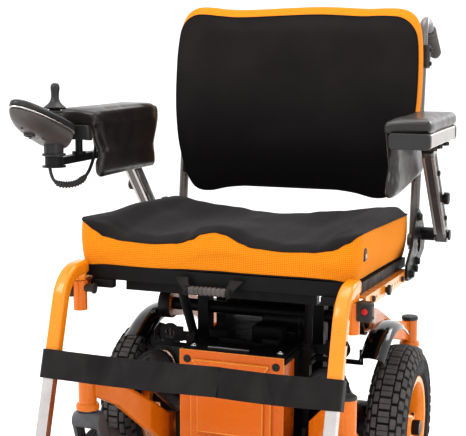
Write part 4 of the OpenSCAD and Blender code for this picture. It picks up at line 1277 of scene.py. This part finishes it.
def pull_handle():
    """The cushion's front pull handle: a moulded ribbed bar on two webbing ears."""
    left, right, y, height = -50, 34, -353, 524
    bar = Shape()
    stations = np.linspace(left, right, 85)
    scale = []
    for x in stations:
        rib = 1.0 if math.sin(2 * math.pi * (x - left) / 9.2) > -0.15 else 0.80
        end = smooth(min(x - left, right - x) / 5)
        scale.append((0.78 + 0.22 * end) * (rib if 6 < x - left < 78 else 0.9))
    path = [(x, y, height + 1.5 * math.cos(x / 40)) for x in stations]
    bar.sweep(path, rounded(15, 17, 5, 4), scale=scale)
    piece("pull_handle_grip", bar, MAT["grip_rubber"], "seat", "grip_rubber", replaces=["cushion_handle"],
          sharp=30)
    ears = Shape()
    for side in (-1, 1):
        x0, x1 = -8 + side * 44, -8 + side * 57
        rings = []
        for t in np.linspace(0, 1, 13):
            x, z = x0 + (x1 - x0) * smooth(t), height + 25 * t
            w = 15 + 13 * t
            depth = y + 9 * smooth(t) - 1.5 * math.sin(math.pi * t)
            rings.append([(x - w / 2, depth - 1.2, z), (x + w / 2, depth - 1.2, z),
                          (x + w / 2, depth + 1.2, z), (x - w / 2, depth + 1.2, z)])
        ears.skin(rings)
        ears.rod((x0 - 5, y, height), (x0 + 5, y, height), 9.6, 20, 1.5)
    obj = mesh_of("pull_handle_straps", ears)
    lay_cloth(obj, "x", "z")
    finish_mesh(obj, MAT["webbing"], "seat", "webbing", sharp=40, bevel=0.5)


# ---------------------------------------------------------------- trim on the metal parts
def trim():
    """Bolts, caps, knobs and clamps; those of one body and material are one piece each."""
    bolts = Shape()                                        # on the seat rails and back brackets
    for y, z in ((128, 624), (112, 526), (90, 513), (50, 508)):
        at = facing((311.8, y, z), (1, 0, 0))
        socket_bolt(bolts, at, 7.6, 9)
        bolts.lathe([(10.5, 0), (10.5, 1.4), (9.8, 2), (5, 2)], at, 24)
    for depth in (60, 330):
        p = SEAT @ Vector((306, depth, -34))
        socket_bolt(bolts, facing(p, (1, 0, 0)), 6.2, 5)
    knob = SEAT @ Vector((306, 175, -34))
    bolts.lathe([(3.2, -2), (6, 0), (6, 3), (9.6, 3.6), (10.4, 5), (10.4, 9), (9.6, 10.4), (4, 10.8),
                 (0, 10.8)], facing(knob, (1, 0, 0)), 20)
    piece("seat_bolts", bolts.both(), MAT["bolt_black"], "seat", "black_steel", sharp=35)

    # barrels: cap, lower ring and stem washer
    rear_cap = ((19.6, 337), (20.2, 338), (20.2, 343), (18.6, 345.4), (6, 346.4), (0, 346.4))
    front_cap = ((19.2, 339), (19.8, 340), (19.8, 343), (18, 345), (5, 346), (0, 346))
    for name, (x, y), cap in (("rear", REAR_BARREL, rear_cap), ("front", FRONT_BARREL, front_cap)):
        pair(f"{name}_barrel_cap", Shape().lathe(cap, place((x, y, 0)), 40), MAT["black_plastic"],
             f"{name}_arm", "black_plastic", sharp=35)
    for name, (x, y), low in (("front", FRONT_BARREL, 256), ("rear", REAR_BARREL, 271)):
        at = place((x, y, 0))
        ring = Shape().lathe([(20, low + 9), (23.2, low + 10.5), (24.4, low + 9), (24.4, low + 1),
                              (23.4, low), (19, low)], at, 48)
        pair(f"{name}_barrel_ring", ring, MAT["orange_paint"], f"{name}_arm", "orange_paint", sharp=40)
        washer = Shape().lathe([(13, low - 5), (15.4, low - 4.4), (15.4, low - 1), (13, low - 0.4)], at, 32)
        pair(f"{name}_stem_washer", washer, MAT["chrome"], f"{name}_fork", "fork_grey", sharp=40)

    heads = Shape()                                        # pivot bolts of the arms
    heads.lathe([(17, 0), (17.5, 0.8), (17.5, 4), (16, 5.2), (11, 5.4), (10, 7), (0, 7)],
                facing((188, -150, 175), (1, 0, 0)), 32)
    socket_bolt(heads, facing((195, -150, 175), (1, 0, 0)), 7, 5)
    pair("front_pivot_cap", heads, MAT["bolt_black"], "front_arm", "black_steel", sharp=35)
    shield = []                                            # guard round the rear arm's pivot
    section = ((212.5, 31.2), (212.5, 33.4), (214, 34.4), (237, 34.4), (238.5, 33.4), (238.5, 31.2))
    for k in range(29):
        a = math.radians(-30 + 225 * k / 28)
        shield.append([(x, -40 - r * math.sin(a), 420 + r * math.cos(a)) for x, r in section])
    pair("rear_pivot_guard", Shape().skin(shield), MAT["motor_black"], "rear_arm", "black_steel", sharp=40)
    heads = Shape().lathe([(19, 0), (20, 1), (20, 4), (18, 5.4), (0, 6.4)],
                          facing((236.5, -40, 420), (1, 0, 0)), 32)
    socket_bolt(heads, facing((242, -40, 420), (1, 0, 0)), 7, 5)
    pair("rear_pivot_cap", heads, MAT["bolt_black"], "rear_arm", "black_steel", sharp=35)

    # arm rails: black end caps, thumb screws below, a slotted track in the post
    caps = Shape()
    for y0, y1 in ((-243, -226), (55, 63)):
        at = place((361, y1, 821)) @ rot(90, "X")
        caps.slab(rounded(80.5, 31, 7, 5), 0, y1 - y0, at, 2.2)
    pair("arm_rail_caps", caps, MAT["black_plastic"], "arm", "black_plastic", sharp=35)
    screws = Shape()
    for y in (-120, -60, 20):
        at = facing((384, y, 807.5), (0, 0, -1))
        lobes = [((8.5 + 1.1 * math.cos(6 * t)) * math.cos(t), (8.5 + 1.1 * math.cos(6 * t)) * math.sin(t))
                 for t in np.linspace(0, 2 * math.pi, 36, endpoint=False)]
        screws.slab(lobes, 5, 13, at, 1.2)
        screws.rod((384, y, 808), (384, y, 800), 3.2, 14)
        screws.slab(rounded(20, 16, 3, 3), 0, 3, at, 0.8)
    pair("arm_thumb_screws", screws, MAT["bolt_black"], "arm", "black_steel", sharp=35)
    track = Shape()
    low, high = Vector((0, 182, 578)), Vector((0, -13.8, 792))
    along = (high - low).normalized()
    out = Vector((0, along.z, -along.y))
    for side in (1, -1):
        face = place((356 + side * 13.0, 0, 0))
        spots = [low + along * s for s in (36, 262)]
        ring = []
        for p, sgn in ((spots[0], 1), (spots[1], -1)):
            for k in range(9):
                t = math.radians(180 * k / 8 - 90)
                q = p - along * sgn * 6 * math.cos(t) + out * sgn * 6 * math.sin(t)
                ring.append((0, q.y, q.z))
        rings = [[(w * side, q[1], q[2]) for q in ring] for w in (-1.0, 0.5)]
        track.skin([[face @ Vector(q) for q in r] for r in rings])
    pair("arm_post_track", track, MAT["black_plastic"], "arm", "black_plastic", sharp=35)
    lips = Shape()                                         # two bright flanges on one face of the post
    for x0, x1 in ((343.4, 349.0), (363.0, 368.6)):
        ring = []
        for s in (22, 278):
            p = low + along * s + out * -18.6
            q = p + out * 1.4
            ring.append([(x0, p.y, p.z), (x1, p.y, p.z), (x1, q.y, q.z), (x0, q.y, q.z)])
        lips.skin(ring)
    pair("arm_post_lips", lips, MAT["arm_aluminium"], "arm", "arm_aluminium", sharp=35)
    knobs = Shape()
    p = low + along * 128
    at = facing((369, p.y, p.z), (1, 0, 0))
    knobs.lathe([(9, 0), (9, 3), (12.6, 4), (13.6, 6), (13.6, 13), (12, 15.6), (7, 16.4), (0, 16.4)], at, 12)
    for s in (210, 60):
        p = low + along * s
        socket_bolt(knobs, facing((369, p.y, p.z), (1, 0, 0)), 6, 4)
    pair("arm_post_knob", knobs, MAT["bolt_black"], "arm", "black_steel", sharp=30)

    # receivers: latch blocks with a red release button in front
    latch = Shape()
    latch.slab(rounded(30, 24, 5, 5), 0, 36, place((310, -359, 495)), 2.4)
    at = facing((312, -371, 515), (0, -1, 0))
    latch.lathe([(8.2, -0.5), (8.6, 1.2), (7.6, 2), (6.6, 1.4), (6.4, -1)], at, 32)
    for z in (502, 526):
        socket_bolt(latch, facing((325, -359, z), (1, 0, 0)), 2.8, 1.6)
    latch.both()
    piece("latch_housings", latch, MAT["black_plastic"], "seat", "black_plastic", sharp=35)
    button = Shape().lathe([(6.2, 0), (6.2, 2.6), (5.4, 3.8), (2, 4.4), (0, 4.4)], at, 28).both()
    piece("latch_buttons", button, MAT["button_red"], "seat", "button_plastic", sharp=40)

    # hangers: a raised band at the tube's end and a grub screw in its side
    band = [[(x, y, z) for x, y in rounded(TUBE + 2 * grow, TUBE + 2 * grow, 6.5, 5)]
            for z, grow in ((147, 0.2), (148, 1.1), (152.6, 1.1), (153.2, 0.2))]
    pair("hanger_end_band", Shape().skin(band, LEG), MAT["lit_orange_paint"], "legrest", "orange_paint", sharp=40)
    at = LEG @ shift(14, 0, 36) @ rot(90, "Y")
    grub = socket_bolt(Shape(), at, 4.5, 2.6)
    pair("hanger_screws", grub, MAT["bolt_black"], "legrest", "black_steel", sharp=35)

    # push handle: clamps with two bolts, and the cane's height clamp below
    clamps = Shape()
    for z0, z1 in ((396, 448), (248, 272)):
        clamps.slab(rounded(28, 26, 7, 5), z0, z1, BACK @ shift(293, 2, 0), 2)
        for z in (z0 + 10, z1 - 10):
            at = BACK @ shift(307, 2, z) @ rot(90, "Y")
            socket_bolt(clamps, at, 5.2, 4)
    piece("cane_clamps", clamps.both(), MAT["black_plastic"], "back", "black_plastic", sharp=35)

    # shroud: two screws with their washers
    screws = Shape()
    for x in (-98, 98):
        at = facing((x, -240, 352), (0, -1, 0))
        socket_bolt(screws, at, 6, 4)
        screws.lathe([(8.4, 0), (8.4, 1), (7.8, 1.6), (5, 1.6)], at, 24)
    piece("shroud_bolts", screws, MAT["bolt_black"], "chassis", "black_steel",
          replaces=["shroud_screws"], sharp=35)


FENDER_ARC, FENDER_STEPS = 37, 36      # degrees to each side of the wheel's top, and steps over the arc


def fender_shells():
    """A rolled shell over the inner half of each drive wheel."""
    section = [(243.5, 204), (243.5, 216), (246, 222), (254, 226.5), (268, 228.5), (284, 226.5), (294, 220.5),
               (297.5, 211), (295, 211), (291.5, 219), (283, 224), (268, 226), (255, 224), (248.5, 220),
               (246.5, 215), (246.5, 204)]
    y, z = WHEEL[1:]
    rings = []
    for k in range(FENDER_STEPS + 1):
        a = math.radians(FENDER_ARC * (2 * k / FENDER_STEPS - 1))
        lift = 3.5 * math.exp(-((k - FENDER_STEPS) / 2.2) ** 2) + 3.5 * math.exp(-(k / 2.2) ** 2)
        rings.append([(u, y + (r + lift) * math.sin(a), z + (r + lift) * math.cos(a)) for u, r in section])
    shell = Shape().skin(rings)
    for a in (-0.25, 0.28):
        at = place((252, y + 221 * math.sin(a), z + 221 * math.cos(a))) @ Matrix.Rotation(-a, 4, "X")
        socket_bolt(shell, at @ shift(6, 0, 4), 5, 4)
    piece("fender_shells", shell.both(), MAT["gloss_black"], "chassis", "gloss_black",
          replaces=["fenders"], sharp=45)


def hangers():
    """A square tube bent from its receiver stem down to the leg tube."""
    path = [(HANGER_X, y, RUN_Z) for y in (-344, -346, -360, BEND_START)]
    for k in range(1, 21):
        t = BEND_TURN * k / 20
        path.append((HANGER_X, BEND_START - BEND_R * math.sin(t), RUN_Z - BEND_R + BEND_R * math.cos(t)))
    path += [LEG @ Vector((0, 0, z)) for z in (8, 40, 80, 120, 148, 150)]
    scale = [0.93] + [1.0] * (len(path) - 2) + [0.94]
    tube = Shape().sweep(path, rounded(TUBE, TUBE, 6.5, 5), scale=scale)
    tube.rod((HANGER_X, -358, 530), (HANGER_X, -358, 552), 13, 32, 1)
    tube.rod((HANGER_X, -358, 476), (HANGER_X, -358, 531), 10, 28, 1)
    pair("hanger_tube", tube, MAT["lit_orange_paint"], "legrest", "orange_paint", replaces=["hanger"], sharp=50)


def side_tab():
    """A plain sewn tab on the seat cushion's side."""
    at = SEAT @ shift(290.5, 44, 52) @ rot(90, "Y")
    tab = Shape().slab(rounded(26, 17, 5, 6), -3, 3.4, at, 1.2)
    piece("cushion_tab", tab, MAT["black_plastic"], "seat", "black_fabric", sharp=35)
    tab = Shape().slab(rounded(9, 11, 2, 4), 3, 4.4, at @ shift(3, 0, 0), 0.6)
    piece("cushion_tab_window", tab, MAT["button_grey"], "seat", "button_plastic", sharp=35)


LID_TOP = 372                          # height of the battery lid


def undercarriage():
    """Modules and fasteners on the lid, the actuator's gearbox, painted highlights along the shroud's folds,
    and motor covers.
    """
    lid = Shape()
    for x in (-96, 96):
        for y in (-205, 190):
            socket_bolt(lid, facing((x, y, LID_TOP), (0, 0, 1)), 5, 4)
            lid.lathe([(8, 0), (8, 1.2), (4, 1.2)], facing((x, y, LID_TOP), (0, 0, 1)), 20)
    piece("lid_bolts", lid, MAT["chrome"], "chassis", "chrome", sharp=35)
    strip = Shape()
    strip.slab(rounded(60, 14, 3, 3), 0, 8, place((-30, -150, LID_TOP)), 1.2)
    strip.slab(rounded(36, 26, 4, 4), 0, 16, place((58, -150, LID_TOP)), 2)
    strip.slab(rounded(44, 60, 6, 4), 0, 22, place((-66, -110, LID_TOP)), 3)
    strip.slab(rounded(70, 44, 6, 4), 0, 30, place((36, -96, LID_TOP)), 3)
    for i in range(7):
        strip.slab(rounded(5, 38, 1.5, 3), 28, 33, place((12 + 8 * i, -96, LID_TOP)), 0.8)
    piece("lid_modules", strip, MAT["box_black"], "chassis", "box_black", sharp=35)
    bar = Shape().slab(rounded(92, 5, 2, 3), 0, 3.4, place((-16, -212, LID_TOP)), 0.8)
    piece("lid_bar", bar, MAT["arm_aluminium"], "chassis", "arm_aluminium", sharp=35)
    pump = Shape()
    pump.lathe([(0, -52), (22, -52), (27, -49), (28, -44), (28, 34), (26, 36), (26, 40), (28, 42), (28, 47),
                (25, 52), (12, 53), (10, 56), (0, 56)], facing((56, -30, 402), (1, 0, 0)), 44)
    for x in (20, 88):
        pump.slab(rounded(10, 50, 3, 3), 0, 16, place((x, -30, 370)), 1.5)
    piece("actuator_gearbox", pump, MAT["motor_black"], "chassis", "motor_black", sharp=40)
    gusset = Shape()
    gusset.slab(rounded(52, 18, 4, 4), 514, 530, place((244, -334, 0)), 1.5)
    piece("receiver_gussets", gusset.both(), MAT["frame_black"], "seat", "frame_black", sharp=35)
    # painted highlights: thin rods of the lighter orange along the folded edges of the shroud's raised panels
    folds = Shape()
    for y, corners in ((-246, ((-84, 352), (84, 352), (64, 326), (-64, 326))),
                       (-245, ((-88, 300), (88, 300), (88, 112), (-88, 112))),
                       (-249, ((-72, 284), (72, 284), (72, 200), (-72, 200))),
                       (-249, ((-72, 188), (72, 188), (72, 124), (-72, 124)))):
        for (x0, z0), (x1, z1) in zip(corners, corners[1:] + corners[:1]):
            folds.rod((x0, y, z0), (x1, y, z1), 1.3, 10, 0.4)
    piece("shroud_fold_highlights", folds, MAT["lit_orange_paint"], "chassis", "orange_paint", sharp=60)
    rings = Shape()                                         # motor end covers: rim, hub and screws
    lean = math.radians(33.4)
    axis = Vector((0, -math.cos(lean), math.sin(lean)))
    at = facing(Vector((194, 0, 178)) + axis * 241, axis)
    rings.lathe([(43.2, -22), (44.6, -21), (44.6, -3), (42.6, 0.6), (38, 2), (36, 1), (34.6, 2.4), (30, 2.8),
                 (12, 2.8), (10.4, 4.2), (0, 4.2)], at, 56)
    for k in range(16):
        a = 2 * math.pi * k / 16
        rings.rod(at @ polar(44.4, a, -19), at @ polar(44.4, a, -5), 1.6, 8, 0.6)
    for k in range(4):
        a = math.pi * (k / 2 + 0.25)
        socket_bolt(rings, at @ shift(*polar(24, a, 2.6)), 3.4, 2.4)
    piece("motor_covers", rings.both(), MAT["motor_black"], "chassis", "motor_black", sharp=35)


def paint_nodes():
    """A procedural material on each CAD node that still shows."""
    plan = {
        "frame_black": ("base_frame", "seat_frame", "back_panel"),
        "box_black": ("battery_box", "battery_lid"),
        "battery_grey": ("batteries", "power_module"),
        "shroud_paint": ("front_shroud",),
        "orange_paint": ("front_arm_r", "front_arm_l", "rear_arm_r", "rear_arm_l",
                         "legrest_receivers"),
        "lit_orange_paint": ("seat_rails",),
        "motor_black": ("drive_motors", "back_brackets", "actuator_body", "controller_mount"),
        "fork_grey": ("front_fork_r", "front_fork_l", "rear_fork_r", "rear_fork_l"),
        "black_plastic": ("receiver_latches", "footplate_r", "footplate_l"),
        "chrome": ("actuator_rod",),
        "cane_grey": ("back_canes",),
        "post_grey": ("arm_post_r", "arm_post_l"),
        "arm_aluminium": ("arm_rail_r", "arm_rail_l"),
        "silver_tube": ("leg_tube_r", "leg_tube_l"),
    }
    for finish, names in plan.items():
        for name in names:
            slots = nodes[name].data.materials
            if slots:
                slots[0] = MAT[finish]
            else:
                slots.append(MAT[finish])


drive_wheels()
casters()
controller()
joystick()
grips()
pull_handle()
trim()
fender_shells()
hangers()
side_tab()
undercarriage()
paint_nodes()
